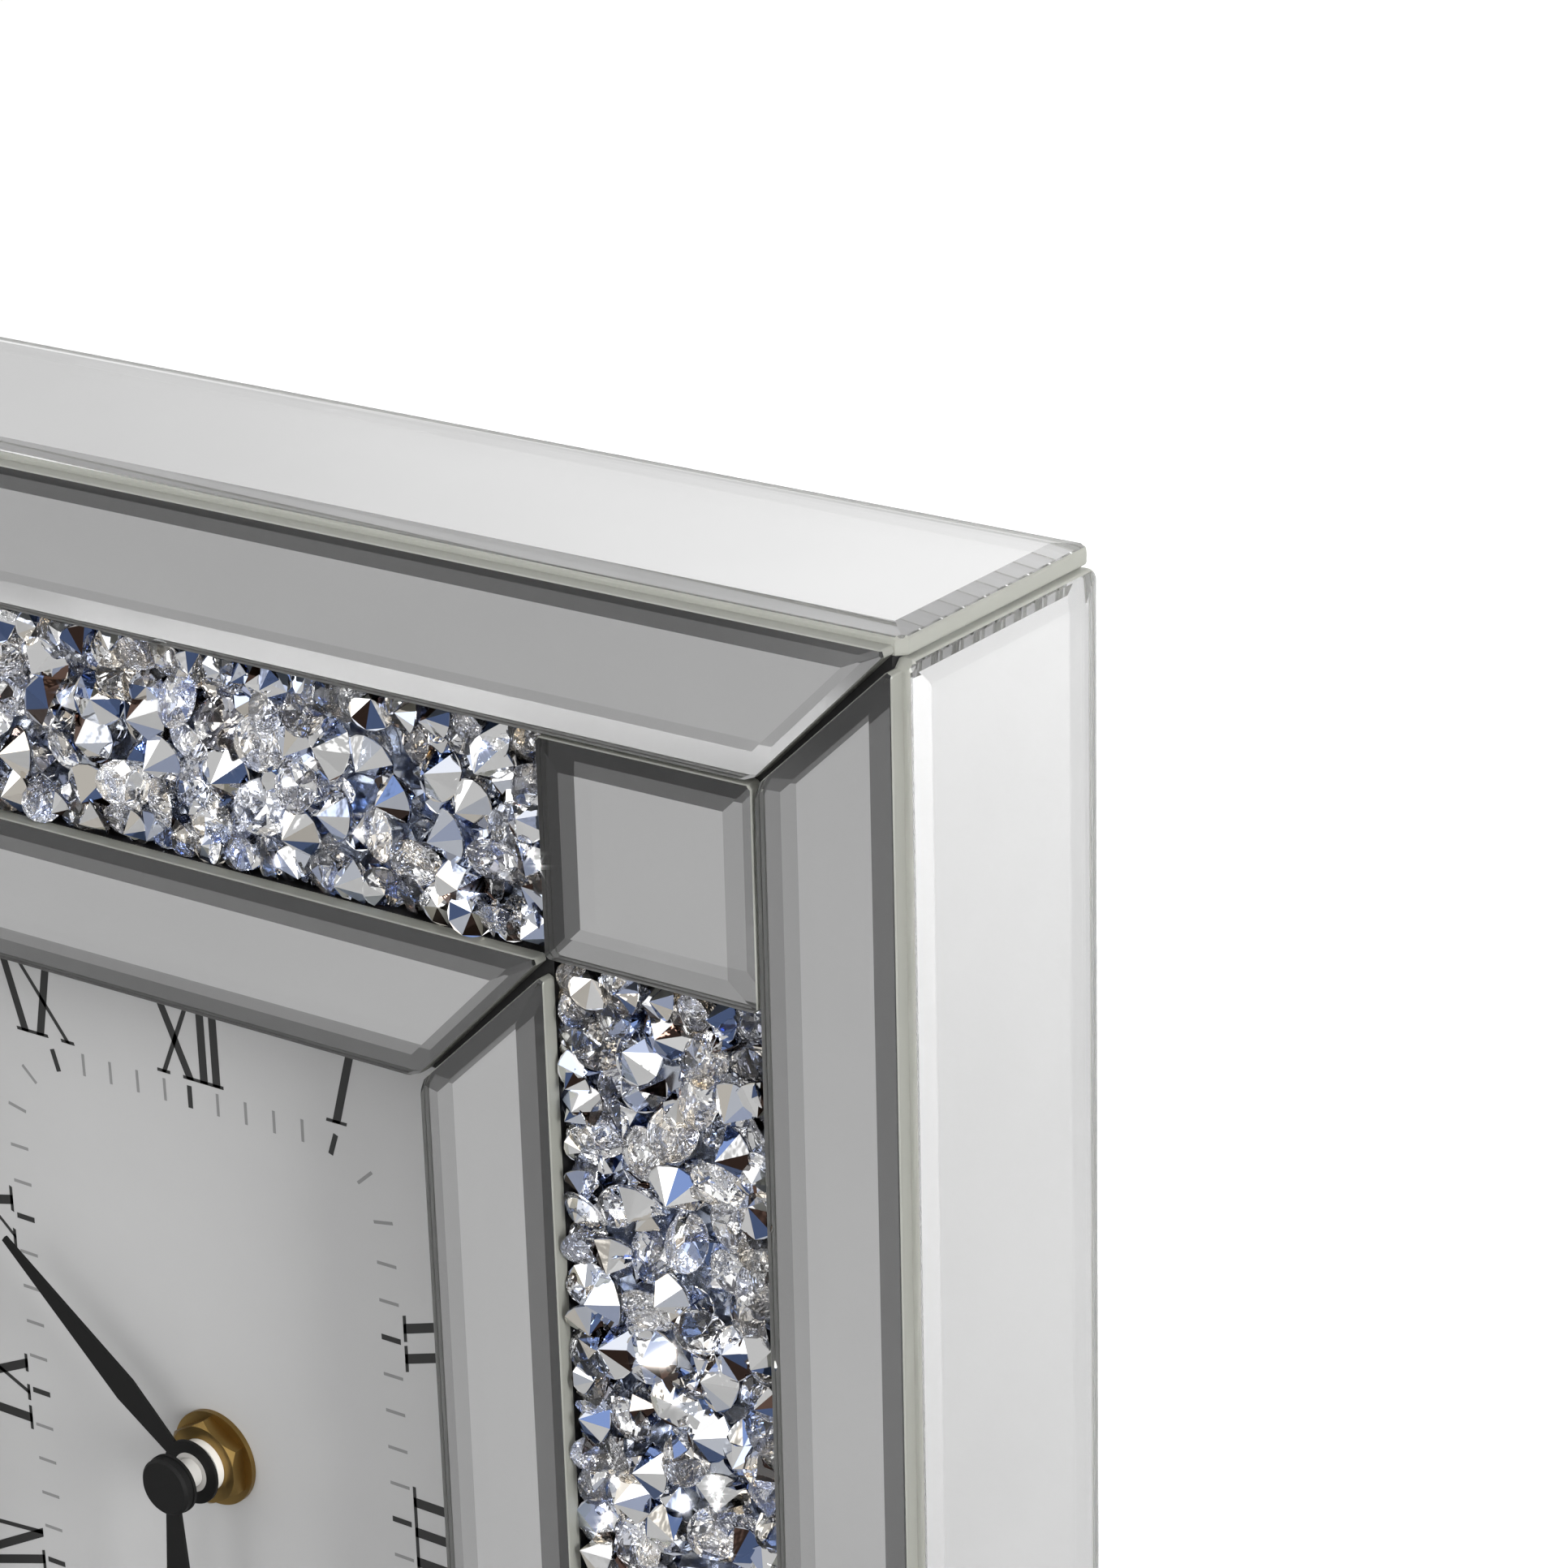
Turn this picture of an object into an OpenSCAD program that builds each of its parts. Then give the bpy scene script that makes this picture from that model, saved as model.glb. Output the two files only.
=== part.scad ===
// Mirrored table clock: a box of bevelled mirror glass with two mitred frames of mirror strips,
// crystals glued in the channel between them, and a quartz movement behind a portrait dial.
// Millimetres, +Z up, the dial faces -Y. Origin: middle of the footprint, on the table.

/* [Case] */
// Width over the side mirrors
case_w = 258; // [240:2:300]
// Height over the top and bottom mirrors
case_h = 300; // [290:2:340]
// Depth from the front strips to the back
case_d = 44; // [43:0.5:60]
// Thickness of the front board
front_board_t = 10; // [8:0.5:12]
// Thickness of the wooden rails round the case
rail_t = 12; // [9:0.5:16]
// Thickness of the back board
back_board_t = 3; // [2:0.5:4]
// Width and height of the opening in the back board
access_w = 92; // [80:2:110]
// Corner radius of the opening in the back board
access_r = 8; // [4:1:15]
// Diameter of a foot pad
foot_d = 12; // [8:1:16]
// Height of a foot pad
foot_h = 1.5; // [1:0.5:3]
// Distance from the case side to the middle of a foot pad
foot_inset = 18; // [12:1:30]
// Distance from the front or back of the case to the middle of a foot pad
foot_edge = 11; // [9:1:14]

/* [Mirror glass] */
// Thickness of every mirror
glass_t = 3; // [2.5:0.5:4]
// Depth of every ground bevel
bevel_drop = 0.6; // [0.3:0.1:1]
// Width of the bevel round the case mirrors
panel_bevel = 3.6; // [2:0.2:6]
// Corner that is ground off every mirror
corner_clip = 1.2; // [0.6:0.2:2]
// How far the top and bottom mirrors stop short of the side mirrors
top_inset = 1.4; // [0:0.2:2.4]
// Gap between a side mirror and the top or bottom mirror
panel_gap = 0.3; // [0.1:0.1:0.6]

/* [Front frames] */
// How far the outer frame stands in from the edge of the case
frame_inset = 1.5; // [0.5:0.5:2.5]
// Flat width of an outer strip
outer_flat = 13; // [10:0.5:18]
// Flat width of an inner strip
inner_flat = 13.5; // [10:0.5:18]
// Bevel along the outer edge of the outer frame
rim_bevel = 2.9; // [2:0.1:4.5]
// Bevels along the crystal channel
channel_bevel = 4.3; // [3:0.1:5]
// Bevel round the dial opening
dial_bevel = 3.5; // [2.5:0.1:4.5]
// Bevel across the mitred ends
mitre_bevel = 2.6; // [1.5:0.1:4]
// Black gap at a mitre
mitre_gap = 0.8; // [0.3:0.1:1.2]
// Width of the crystal channel at the sides
channel_side = 33.6; // [28:0.2:40]
// Height of the crystal channel at the top and bottom
channel_top = 30.6; // [28:0.2:40]
// Gap round a corner mirror
corner_gap = 0.4; // [0.2:0.1:0.8]

/* [Crystals] */
// Depth of the routed channel below the front board's face
channel_depth = 5; // [4:0.5:6]
// Thickness of the mirror film under the crystals
film_t = 0.8; // [0.4:0.1:1]
// Width of a crystal across its flats
crystal_d = 6.8; // [5.5:0.1:7]
// Height of a crystal's crown
crown_h = 1.3; // [0.9:0.1:1.6]
// Height of a crystal's pavilion
pavilion_h = 3.1; // [2:0.1:3.3]
// Distance between neighbouring crystals
crystal_pitch = 8.1; // [8:0.1:9.5]

/* [Dial and hands] */
// Thickness of the printed dial sheet
dial_sheet_t = 0.3; // [0.2:0.1:0.5]
// Thickness of the board that carries the dial sheet
dial_board_t = 2.5; // [2:0.1:3]
// How far the dial reaches past its opening on every side
dial_lap = 8; // [5:1:12]
// Length of the hour hand from the middle
hour_len = 43.4; // [36:0.2:46]
// Length of the minute hand from the middle
minute_len = 50; // [46:0.5:51]
// Widest width of a hand
hand_w = 4.7; // [3:0.1:6]
// Thickness of a hand
hand_t = 0.5; // [0.3:0.1:0.6]
// Outside diameter of the hour hand's ring
hour_ring_d = 9.7; // [8.6:0.1:11]
// Outside diameter of the cap on the minute hand
cap_d = 8.6; // [7:0.1:10]
// Thickness of that cap
cap_t = 1.5; // [1.2:0.1:1.9]
// Angle of the hour hand, clockwise from twelve
hour_angle = 310; // [0:1:359]
// Angle of the minute hand, clockwise from twelve
minute_angle = 180; // [0:1:359]

/* [Movement] */
// Width and height of the movement
move_w = 56; // [55:0.5:60]
// Depth of the movement
move_d = 16; // [15.8:0.1:17]
// Wall of the movement's housing
wall_t = 1.2; // [1:0.1:1.4]
// Rubber gasket between the movement and the dial board
gasket_t = 1; // [0.6:0.1:1.5]
// Thread diameter of the bushing
bush_d = 8; // [7.6:0.1:8.4]
// How far the bushing stands out in front of the dial
bush_out = 4.3; // [3.6:0.1:4.6]
// Diameter of the brass washer
washer_d = 14.5; // [13:0.1:18]
// Thickness of the brass washer
washer_t = 0.8; // [0.4:0.1:1]
// Width of the hex nut across its flats
nut_af = 11.5; // [11:0.1:13]
// Thickness of the hex nut
nut_t = 2.3; // [1.8:0.1:2.6]
// Diameter of the hour tube
hour_tube_d = 6; // [5.6:0.1:6.4]
// Diameter of the minute arbor
arbor_d = 4.4; // [4:0.1:4.6]
// Radial clearance where one piece turns in another
run_gap = 0.05; // [0.03:0.01:0.08]
// Diameter of the battery
battery_d = 14.2; // [13.8:0.1:14.3]
// Length of the battery without its button
battery_len = 49.2; // [48:0.1:49.6]
// Diameter of the setting knob
knob_d = 12; // [9:0.5:13]
// Height of the setting knob
knob_h = 4.8; // [3.5:0.1:6]

/* [Gears] */
// Module of the minute pinion, the motion wheel and the knob's pinion
gear_module = 0.4; // [0.38:0.01:0.42]
// Share of its half pitch that a tooth fills
tooth_fill = 0.84; // [0.76:0.01:0.88]

/* [Hidden] */
$fn = 48;
eps = 0.01;

// Half sizes and depths of the case. Depth 0 is the plane of the front strips' flats.
half_w = case_w / 2;
half_h = case_h / 2;
centre_z = foot_h + half_h;
board_x = half_w - glass_t;
board_z = half_h - glass_t;
dial_depth = glass_t + front_board_t;
back_depth = case_d - back_board_t;

// Half sizes of the frames' edges, from the outside in
outer_x = half_w - frame_inset;
outer_z = half_h - frame_inset;
outer_strip_w = rim_bevel + outer_flat + channel_bevel;
inner_strip_w = channel_bevel + inner_flat + dial_bevel;
channel_x = outer_x - outer_strip_w;
channel_z = outer_z - outer_strip_w;
inner_x = channel_x - channel_side;
inner_z = channel_z - channel_top;
open_x = inner_x - inner_strip_w;
open_z = inner_z - inner_strip_w;
window_lip = 0.8;
film_gap = 0.2;
// Half the wall that is left where two pockets meet at a corner
corner_wall = 0.1;

// Depths along the hands' axis
film_depth = glass_t + channel_depth;
move_depth = dial_depth + dial_sheet_t + dial_board_t + gasket_t;
washer_depth = dial_depth - washer_t;
nut_depth = washer_depth - nut_t;
bush_depth = dial_depth - bush_out;
hour_depth = bush_depth - 0.9;
minute_depth = hour_depth - 4.1;
knob_gap = 0.4;
bush_gap = 0.1;
arbor_pin_r = 1.1;
pin_reach = 0.7;

// Layers of the movement, from its front wall backwards
inside_depth = move_depth + wall_t;
cover_depth = move_depth + move_d - wall_t;
wheel_t = 1.2;
wheel_gap = 0.4;
pinion_over = 0.3;
hour_layer = inside_depth + wheel_gap;
motion_layer = hour_layer + wheel_t + 0.9;
wheels_end = motion_layer + wheel_t;
post_r = 0.9;
post_over = 0.6;
pivot_r = 1;
knob_shaft_r = 1.2;
boss_h = 3;
boss_wall = 1.5;

// The battery lies along the bottom of the movement, between two tags
inner_half = move_w / 2 - wall_t;
battery_gap = 0.3;
bay_top = -inner_half + battery_d + 2 * battery_gap;
battery_z = -inner_half + battery_gap + battery_d / 2;
battery_depth = inside_depth + battery_d / 2 + 0.2;
button_d = 5.5;
button_h = 1;
tag_t = 0.4;

// Teeth, and where the wheels sit round the hands' axis
minute_teeth = 12;
motion_teeth = 36;
small_teeth = 10;
hour_teeth = 40;
knob_teeth = 12;
motion_reach = gear_module * (minute_teeth + motion_teeth) / 2;
hour_module = 2 * motion_reach / (small_teeth + hour_teeth);
knob_reach = gear_module * (motion_teeth + knob_teeth) / 2;
motion_dir = 130;
knob_dir = 80;
motion_pos = motion_reach * [cos(motion_dir), sin(motion_dir)];
knob_pos = motion_pos + knob_reach * [cos(knob_dir), sin(knob_dir)];
motion_turn = motion_dir + 180 + 180 / motion_teeth;

glass_colour = [0.72, 0.75, 0.76];
wood_colour = [0.13, 0.13, 0.14];
brass_colour = [0.72, 0.55, 0.28];
plastic_colour = [0.2, 0.2, 0.21];
hand_colour = [0.09, 0.09, 0.1];

// Puts a drawing in the dial's plane at a depth: x right, y up, z towards the viewer.
module facing(depth) {
    translate([0, depth - case_d / 2, centre_z]) rotate([90, 0, 0]) children();
}

// A round bar from one depth to the next, nearer one first.
module bar(near, far, r, at = [0, 0]) {
    facing(far) translate([at[0], at[1], 0]) cylinder(h = far - near, r = r);
}

// A bevel is [its width, its drop at the edge]. A ground corner drops further than the edges beside it.
function edge_bevel(width) = [width, bevel_drop];
function clip_bevel(width) = [width, 1.25 * bevel_drop];

// A mirror cut to a convex outline, with its own bevel along each edge.
module bevelled_glass(outline, bevels) {
    reach = 4;
    difference() {
        linear_extrude(glass_t) polygon(outline);
        for (i = [0:len(outline) - 1]) {
            from = outline[i];
            to = outline[(i + 1) % len(outline)];
            run = norm(to - from);
            width = bevels[i][0];
            drop = bevels[i][1];
            rise = drop / width;
            translate([from[0], from[1], glass_t - drop])
                rotate([0, 0, atan2(to[1] - from[1], to[0] - from[0])])
                    translate([-reach, 0, 0]) rotate([90, 0, 90]) linear_extrude(run + 2 * reach)
                        polygon([
                            [-reach, -reach * rise],
                            [width + reach, drop + reach * rise],
                            [-reach, drop + reach * rise]
                        ]);
        }
    }
}

// Outline of a rectangle with its corners ground off: half sizes and clip.
function clipped_rect(x, y, c) = [
    [-x + c, -y], [x - c, -y], [x, -y + c], [x, y - c],
    [x - c, y], [-x + c, y], [-x, y - c], [-x, -y + c]
];

module case_panel(x, y) {
    bevels = [for (i = [0:7]) i % 2 == 0 ? edge_bevel(panel_bevel) : clip_bevel(corner_clip)];
    color(glass_colour) bevelled_glass(clipped_rect(x, y, corner_clip), bevels);
}

// The upper strip of a mitred frame. half_len and half_high are the frame's outer half sizes.
module mitred_strip(half_len, half_high, width, outer_bevel, inner_bevel) {
    end_gap = mitre_gap / sqrt(2);
    c = corner_clip;
    d = corner_clip / sqrt(2);
    low = half_high - width;
    tip = half_len - end_gap;
    heel = half_len - width - end_gap;
    right = [[heel - c, low], [heel + d, low + d], [tip - c - d, half_high - d], [tip - 2 * c, half_high]];
    left = [for (i = [3:-1:0]) [-right[i][0], right[i][1]]];
    corner = clip_bevel(c);
    mitre = edge_bevel(mitre_bevel);
    bevels = [corner, mitre, corner, edge_bevel(outer_bevel), corner, mitre, corner, edge_bevel(inner_bevel)];
    color(glass_colour) bevelled_glass(concat(right, left), bevels);
}

module outer_strip(turn, half_len, half_high) {
    facing(glass_t) rotate([0, 0, turn]) mitred_strip(half_len, half_high, outer_strip_w, rim_bevel, channel_bevel);
}

module inner_strip(turn, half_len, half_high) {
    facing(glass_t) rotate([0, 0, turn]) mitred_strip(half_len, half_high, inner_strip_w, channel_bevel, dial_bevel);
}

module outer_strip_top() outer_strip(0, outer_x, outer_z);
module outer_strip_bottom() outer_strip(180, outer_x, outer_z);
module outer_strip_left() outer_strip(90, outer_z, outer_x);
module outer_strip_right() outer_strip(-90, outer_z, outer_x);
module inner_strip_top() inner_strip(0, inner_x, inner_z);
module inner_strip_bottom() inner_strip(180, inner_x, inner_z);
module inner_strip_left() inner_strip(90, inner_z, inner_x);
module inner_strip_right() inner_strip(-90, inner_z, inner_x);

// A mirror in one corner of the crystal channel.
module corner_mirror(side, level) {
    x = channel_side / 2 - corner_gap;
    y = channel_top / 2 - corner_gap;
    c = corner_clip / 2;
    bevels = [for (i = [0:7]) i % 2 == 0 ? edge_bevel(channel_bevel - corner_gap) : clip_bevel(c)];
    color(glass_colour) facing(glass_t)
        translate([side * (inner_x + channel_side / 2), level * (inner_z + channel_top / 2), 0])
            bevelled_glass(clipped_rect(x, y, c), bevels);
}

module corner_mirror_top_left() corner_mirror(-1, 1);
module corner_mirror_top_right() corner_mirror(1, 1);
module corner_mirror_bottom_left() corner_mirror(-1, -1);
module corner_mirror_bottom_right() corner_mirror(1, -1);

// The case mirrors wrap the boards behind the front strips.
module level_mirror() {
    translate([0, glass_t / 2, centre_z + board_z]) case_panel(half_w - top_inset, (case_d - glass_t) / 2);
}

module upright_mirror() {
    translate([board_x, glass_t / 2, centre_z]) rotate([90, 0, 90])
        case_panel((case_d - glass_t) / 2, board_z - panel_gap);
}

module mirror_top() level_mirror();
module mirror_bottom() translate([0, 0, 2 * centre_z]) mirror([0, 0, 1]) level_mirror();
module mirror_right() upright_mirror();
module mirror_left() mirror([1, 0, 0]) upright_mirror();

// A box in the dial's plane: half sizes, then its nearer and farther depth.
module slab(x, y, near, far, at = [0, 0]) {
    facing(far) translate([at[0] - x, at[1] - y, 0]) cube([2 * x, 2 * y, far - near]);
}

// The crystal channel has four fields, each named after its side: does it lie across, how long
// is it from its middle, how wide is it, and where is its middle?
function across(name) = name == "top" || name == "bottom";
function field_half_len(name) = across(name) ? inner_x : inner_z;
function field_width(name) = across(name) ? channel_top : channel_side;
function field_middle(name) =
    (name == "top" || name == "right" ? 1 : -1) * ((across(name) ? inner_z : inner_x) + field_width(name) / 2);
function field_point(name, along, off) =
    across(name) ? [along, field_middle(name) + off] : [field_middle(name) + off, along];

// The pocket that is routed for a field, or what lies in it.
module pocket(name, gap, near, far) {
    half_len = field_half_len(name) - corner_wall - gap;
    half_width = field_width(name) / 2 - gap;
    x = across(name) ? half_len : half_width;
    y = across(name) ? half_width : half_len;
    slab(x, y, near, far, field_point(name, 0, 0));
}

module front_board() {
    color(wood_colour) difference() {
        slab(board_x, board_z, glass_t, dial_depth);
        slab(open_x + window_lip, open_z + window_lip, glass_t - eps, dial_depth + eps);
        for (name = ["top", "bottom", "left", "right"]) pocket(name, 0, glass_t - eps, film_depth);
    }
}

module upright_rail(side) {
    color(wood_colour) difference() {
        slab(rail_t / 2, board_z, dial_depth, back_depth, [side * (board_x - rail_t / 2), 0]);
        for (spot = screw_spots) if (spot[0] * side > 0)
            bar(back_depth - screw_len, back_depth + eps, screw_r + rail_hole_gap, spot);
    }
}

module level_rail(level) {
    color(wood_colour)
        slab(board_x - rail_t, rail_t / 2, dial_depth, back_depth, [0, level * (board_z - rail_t / 2)]);
}

module rail_left() upright_rail(-1);
module rail_right() upright_rail(1);
module rail_top() level_rail(1);
module rail_bottom() level_rail(-1);

// Countersunk screws hold the back board on the upright rails.
screw_r = 1.2;
screw_len = 11;
screw_head_r = 2.8;
screw_head_h = 1.6;
board_hole_gap = 0.1;
rail_hole_gap = 0.05;
screw_rows = [-0.86, 0, 0.86];
screw_spots = [for (side = [-1, 1]) for (row = screw_rows) [side * (board_x - rail_t / 2), row * board_z]];

module screw_shape(spot, gap) {
    bar(back_depth - screw_len, case_d - screw_head_h, screw_r + gap, spot);
    facing(case_d) translate([spot[0], spot[1], 0])
        cylinder(h = screw_head_h, r1 = screw_head_r + gap, r2 = screw_r + gap);
}

module back_board() {
    color(wood_colour) difference() {
        slab(board_x, board_z, back_depth, case_d);
        slab(access_w / 2, access_w / 2 - access_r, back_depth - eps, case_d + eps);
        slab(access_w / 2 - access_r, access_w / 2, back_depth - eps, case_d + eps);
        for (sx = [-1, 1]) for (sz = [-1, 1])
            bar(back_depth - eps, case_d + eps, access_r, (access_w / 2 - access_r) * [sx, sz]);
        for (spot = screw_spots) screw_shape(spot, board_hole_gap);
    }
}

module back_screws() {
    color([0.25, 0.25, 0.26]) for (spot = screw_spots) screw_shape(spot, 0);
}

// The pads stand under the bottom mirror, whose middle is glass_t / 2 behind the origin.
module foot_pads() {
    x = half_w - foot_inset;
    y = (case_d - glass_t) / 2 - foot_edge;
    color([0.16, 0.16, 0.17]) for (sx = [-1, 1]) for (sy = [-1, 1])
        translate([sx * x, sy * y + glass_t / 2, 0]) cylinder(h = foot_h, d = foot_d);
}

module crystal_film(name) {
    color([0.55, 0.6, 0.68]) pocket(name, film_gap, film_depth - film_t, film_depth);
}

module crystal_film_top() crystal_film("top");
module crystal_film_bottom() crystal_film("bottom");
module crystal_film_left() crystal_film("left");
module crystal_film_right() crystal_film("right");

// A cut stone on its table: a six-sided crown below and a pavilion that ends in a point.
module crystal() {
    table_r = crystal_d * 0.28;
    girdle_r = crystal_d / 2;
    intersection_for(i = [0:2]) rotate([0, 0, 60 * i]) rotate([90, 0, 0])
        linear_extrude(3 * crystal_d, center = true) polygon([
            [-table_r, 0], [table_r, 0], [girdle_r, crown_h], [0, crown_h + pavilion_h], [-girdle_r, crown_h]
        ]);
}

// Crystals in staggered rows, alternately on the table and on the point.
module crystal_field(name) {
    edge = crystal_d / sqrt(3) + film_gap;
    rise = field_width(name) - 2 * edge;
    run = 2 * field_half_len(name) - 2 * edge;
    rows = floor(rise / (crystal_pitch * sin(60))) + 1;
    row_step = rise / max(rows - 1, 1);
    count = floor(run / crystal_pitch) + 1;
    step = run / (count - 0.5);
    color([0.8, 0.84, 0.9]) facing(film_depth - film_t)
        for (j = [0:rows - 1]) for (i = [0:count - 1]) {
            along = -run / 2 + (i + (j % 2) / 2) * step;
            off = (j - (rows - 1) / 2) * row_step;
            turn = 37 * i + 23 * j;
            point_down = (i + 2 * j) % 3 == 0;
            if (along <= run / 2) translate(concat(field_point(name, along, off), [0])) rotate([0, 0, turn])
                if (point_down) translate([0, 0, crown_h + pavilion_h]) mirror([0, 0, 1]) crystal();
                else crystal();
        }
}

module crystals_top() crystal_field("top");
module crystals_bottom() crystal_field("bottom");
module crystals_left() crystal_field("left");
module crystals_right() crystal_field("right");

module dial_sheet() {
    color([0.93, 0.93, 0.93]) difference() {
        slab(open_x + dial_lap, open_z + dial_lap, dial_depth, dial_depth + dial_sheet_t);
        bar(dial_depth - eps, dial_depth + dial_sheet_t + eps, bush_d / 2 + bush_gap);
    }
}

module dial_board() {
    near = dial_depth + dial_sheet_t;
    color([0.35, 0.28, 0.22]) difference() {
        slab(open_x + dial_lap, open_z + dial_lap, near, near + dial_board_t);
        bar(near - eps, near + dial_board_t + eps, bush_d / 2 + bush_gap);
    }
}

// A leaf-shaped blade that points up: half widths at the hub, at a third of its length and at the tip.
module blade(length, hub_w) {
    belly = 0.35 * length;
    tip_w = 0.2 * hand_w;
    linear_extrude(hand_t) polygon([
        [-hub_w / 2, 0], [hub_w / 2, 0], [hand_w / 2, belly],
        [tip_w / 2, length], [-tip_w / 2, length], [-hand_w / 2, belly]
    ]);
}

module hour_hand() {
    color(hand_colour) facing(hour_depth) rotate([0, 0, -hour_angle]) difference() {
        union() {
            blade(hour_len, 0.36 * hand_w);
            cylinder(h = hand_t, d = hour_ring_d);
        }
        translate([0, 0, -eps]) cylinder(h = hand_t + 2 * eps, d = hour_tube_d);
    }
}

module minute_hand() {
    color(hand_colour) facing(minute_depth) rotate([0, 0, -minute_angle]) difference() {
        union() {
            blade(minute_len, 0.4 * hand_w);
            cylinder(h = hand_t, d = cap_d + 0.3);
        }
        translate([0, 0, -eps]) cylinder(h = hand_t + 2 * eps, r = arbor_pin_r);
    }
}

// The cap is a disc with a turned rim and a blind hole for the arbor's pin.
module hand_cap() {
    rim = 0.4;
    color(hand_colour) facing(minute_depth - hand_t) difference() {
        rotate_extrude() polygon([
            [0, 0], [cap_d / 2, 0], [cap_d / 2, cap_t - rim], [cap_d / 2 - rim, cap_t], [0, cap_t]
        ]);
        translate([0, 0, -eps]) cylinder(h = pin_reach + eps, r = arbor_pin_r);
    }
}

module washer() {
    color(brass_colour) difference() {
        bar(washer_depth, dial_depth, washer_d / 2);
        bar(washer_depth - eps, dial_depth + eps, bush_d / 2 + bush_gap);
    }
}

module hex_nut() {
    corner_d = nut_af / cos(30);
    face_d = 1.02 * nut_af;
    color(brass_colour) facing(washer_depth) difference() {
        intersection() {
            rotate([0, 0, 30]) cylinder(h = nut_t, d = corner_d, $fn = 6);
            cylinder(h = nut_t, d1 = face_d + 2 * nut_t, d2 = face_d);
        }
        translate([0, 0, -eps]) cylinder(h = nut_t + 2 * eps, r = bush_d / 2 + run_gap);
    }
}

module gasket() {
    near = move_depth - gasket_t;
    color([0.1, 0.1, 0.1]) difference() {
        bar(near, move_depth, 0.3 * move_w);
        bar(near - eps, move_depth + eps, bush_d / 2 + bush_gap);
    }
}

// The housing has one room for the wheels, one for the battery, and a post for the motion wheel.
module movement_housing() {
    bay_wall = bay_top + wall_t;
    room = [inner_half - bay_wall, inner_half + bay_wall] / 2;
    bay = [inner_half + bay_top, bay_top - inner_half] / 2;
    color(plastic_colour) union() {
        difference() {
            union() {
                slab(move_w / 2, move_w / 2, move_depth, cover_depth);
                bar(bush_depth, move_depth + eps, bush_d / 2);
            }
            slab(inner_half, room[0], inside_depth, cover_depth + eps, [0, room[1]]);
            slab(inner_half, bay[0], inside_depth, cover_depth + eps, [0, bay[1]]);
            bar(bush_depth - eps, inside_depth + eps, hour_tube_d / 2 + run_gap);
        }
        bar(inside_depth - eps, wheels_end + post_over, post_r, motion_pos);
    }
}

// The rear cover closes the wheels' room and leaves the battery bay open. It carries the rear
// bearing of the minute arbor, the knob's shaft and two pins for the stator.
module movement_cover() {
    low = bay_top + wall_t / 2;
    high = move_w / 2;
    color(plastic_colour) difference() {
        union() {
            slab(move_w / 2, (high - low) / 2, cover_depth, cover_depth + wall_t, [0, (high + low) / 2]);
            bar(cover_depth - boss_h, cover_depth + eps, pivot_r + boss_wall);
            for (spot = stator_pins) bar(cover_depth - stator_t, cover_depth + eps, stator_pin_r, spot);
        }
        bar(cover_depth - boss_h - eps, cover_depth + wall_t / 2, pivot_r + run_gap);
        bar(cover_depth - eps, cover_depth + wall_t + eps, knob_shaft_r + run_gap, knob_pos);
    }
}

// The battery's button touches the right tag, and a spring of three rings presses on its other end.
battery_start = inner_half - tag_t - button_h - battery_len;
spring_turns = 3;
wire_r = (battery_start + inner_half - tag_t) / (2 * spring_turns) - eps;

module battery() {
    color([0.12, 0.35, 0.55]) facing(battery_depth) translate([battery_start, battery_z, 0]) rotate([0, 90, 0]) {
        cylinder(h = battery_len, d = battery_d);
        cylinder(h = battery_len + button_h, d = button_d);
    }
}

module battery_contacts() {
    tag_w = 10;
    ring_r = 3.6;
    color([0.8, 0.8, 0.78]) facing(battery_depth) translate([0, battery_z, 0]) {
        for (side = [-1, 1]) translate([side * (inner_half - tag_t / 2), 0, 0])
            cube([tag_t, tag_w, tag_w], center = true);
        for (turn = [0:spring_turns - 1])
            translate([-inner_half + tag_t + (2 * turn + 1) * wire_r, 0, 0]) rotate([0, 90, 0])
                rotate_extrude($fn = 24) translate([ring_r - turn, 0]) circle(r = wire_r, $fn = 16);
    }
}

function involute(a) = tan(a) * 180 / PI - a;

// Half the angle that a tooth covers at radius r, for a 20 degree involute.
function half_tooth(teeth, pitch_r, r) =
    let (base_r = pitch_r * cos(20), at = acos(min(1, base_r / max(r, base_r))))
    tooth_fill * 90 / teeth + involute(20) - involute(at);

function polar(r, a) = [r * cos(a), r * sin(a)];

// Outline of a spur gear with a tooth at angle 0.
function gear_outline(teeth, m) =
    let (pitch_r = m * teeth / 2, tip = pitch_r + 0.85 * m, root = pitch_r - 1.15 * m,
         levels = [root, pitch_r - 0.4 * m, pitch_r, tip])
    [for (k = [0:teeth - 1]) for (s = [0:7])
        let (level = s < 4 ? levels[s] : levels[7 - s], side = s < 4 ? -1 : 1)
        polar(level, 360 * k / teeth + side * half_tooth(teeth, pitch_r, level))];

module gear(teeth, m, near, far, at, turn) {
    facing(far) translate([at[0], at[1], 0]) rotate([0, 0, turn]) linear_extrude(far - near)
        polygon(gear_outline(teeth, m));
}

// The minute arbor: a shaft with a pin for the hand, a pinion, and a pivot in the rear cover.
module minute_arbor() {
    end_play = 0.2;
    pinion_near = motion_layer - pinion_over;
    color([0.93, 0.93, 0.92]) union() {
        bar(minute_depth, pinion_near, arbor_d / 2);
        bar(minute_depth - hand_t - pin_reach + eps, minute_depth + eps, arbor_pin_r);
        gear(minute_teeth, gear_module, pinion_near, wheels_end + pinion_over, [0, 0], motion_dir);
        bar(wheels_end, cover_depth + wall_t / 2 - end_play, pivot_r);
    }
}

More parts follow.
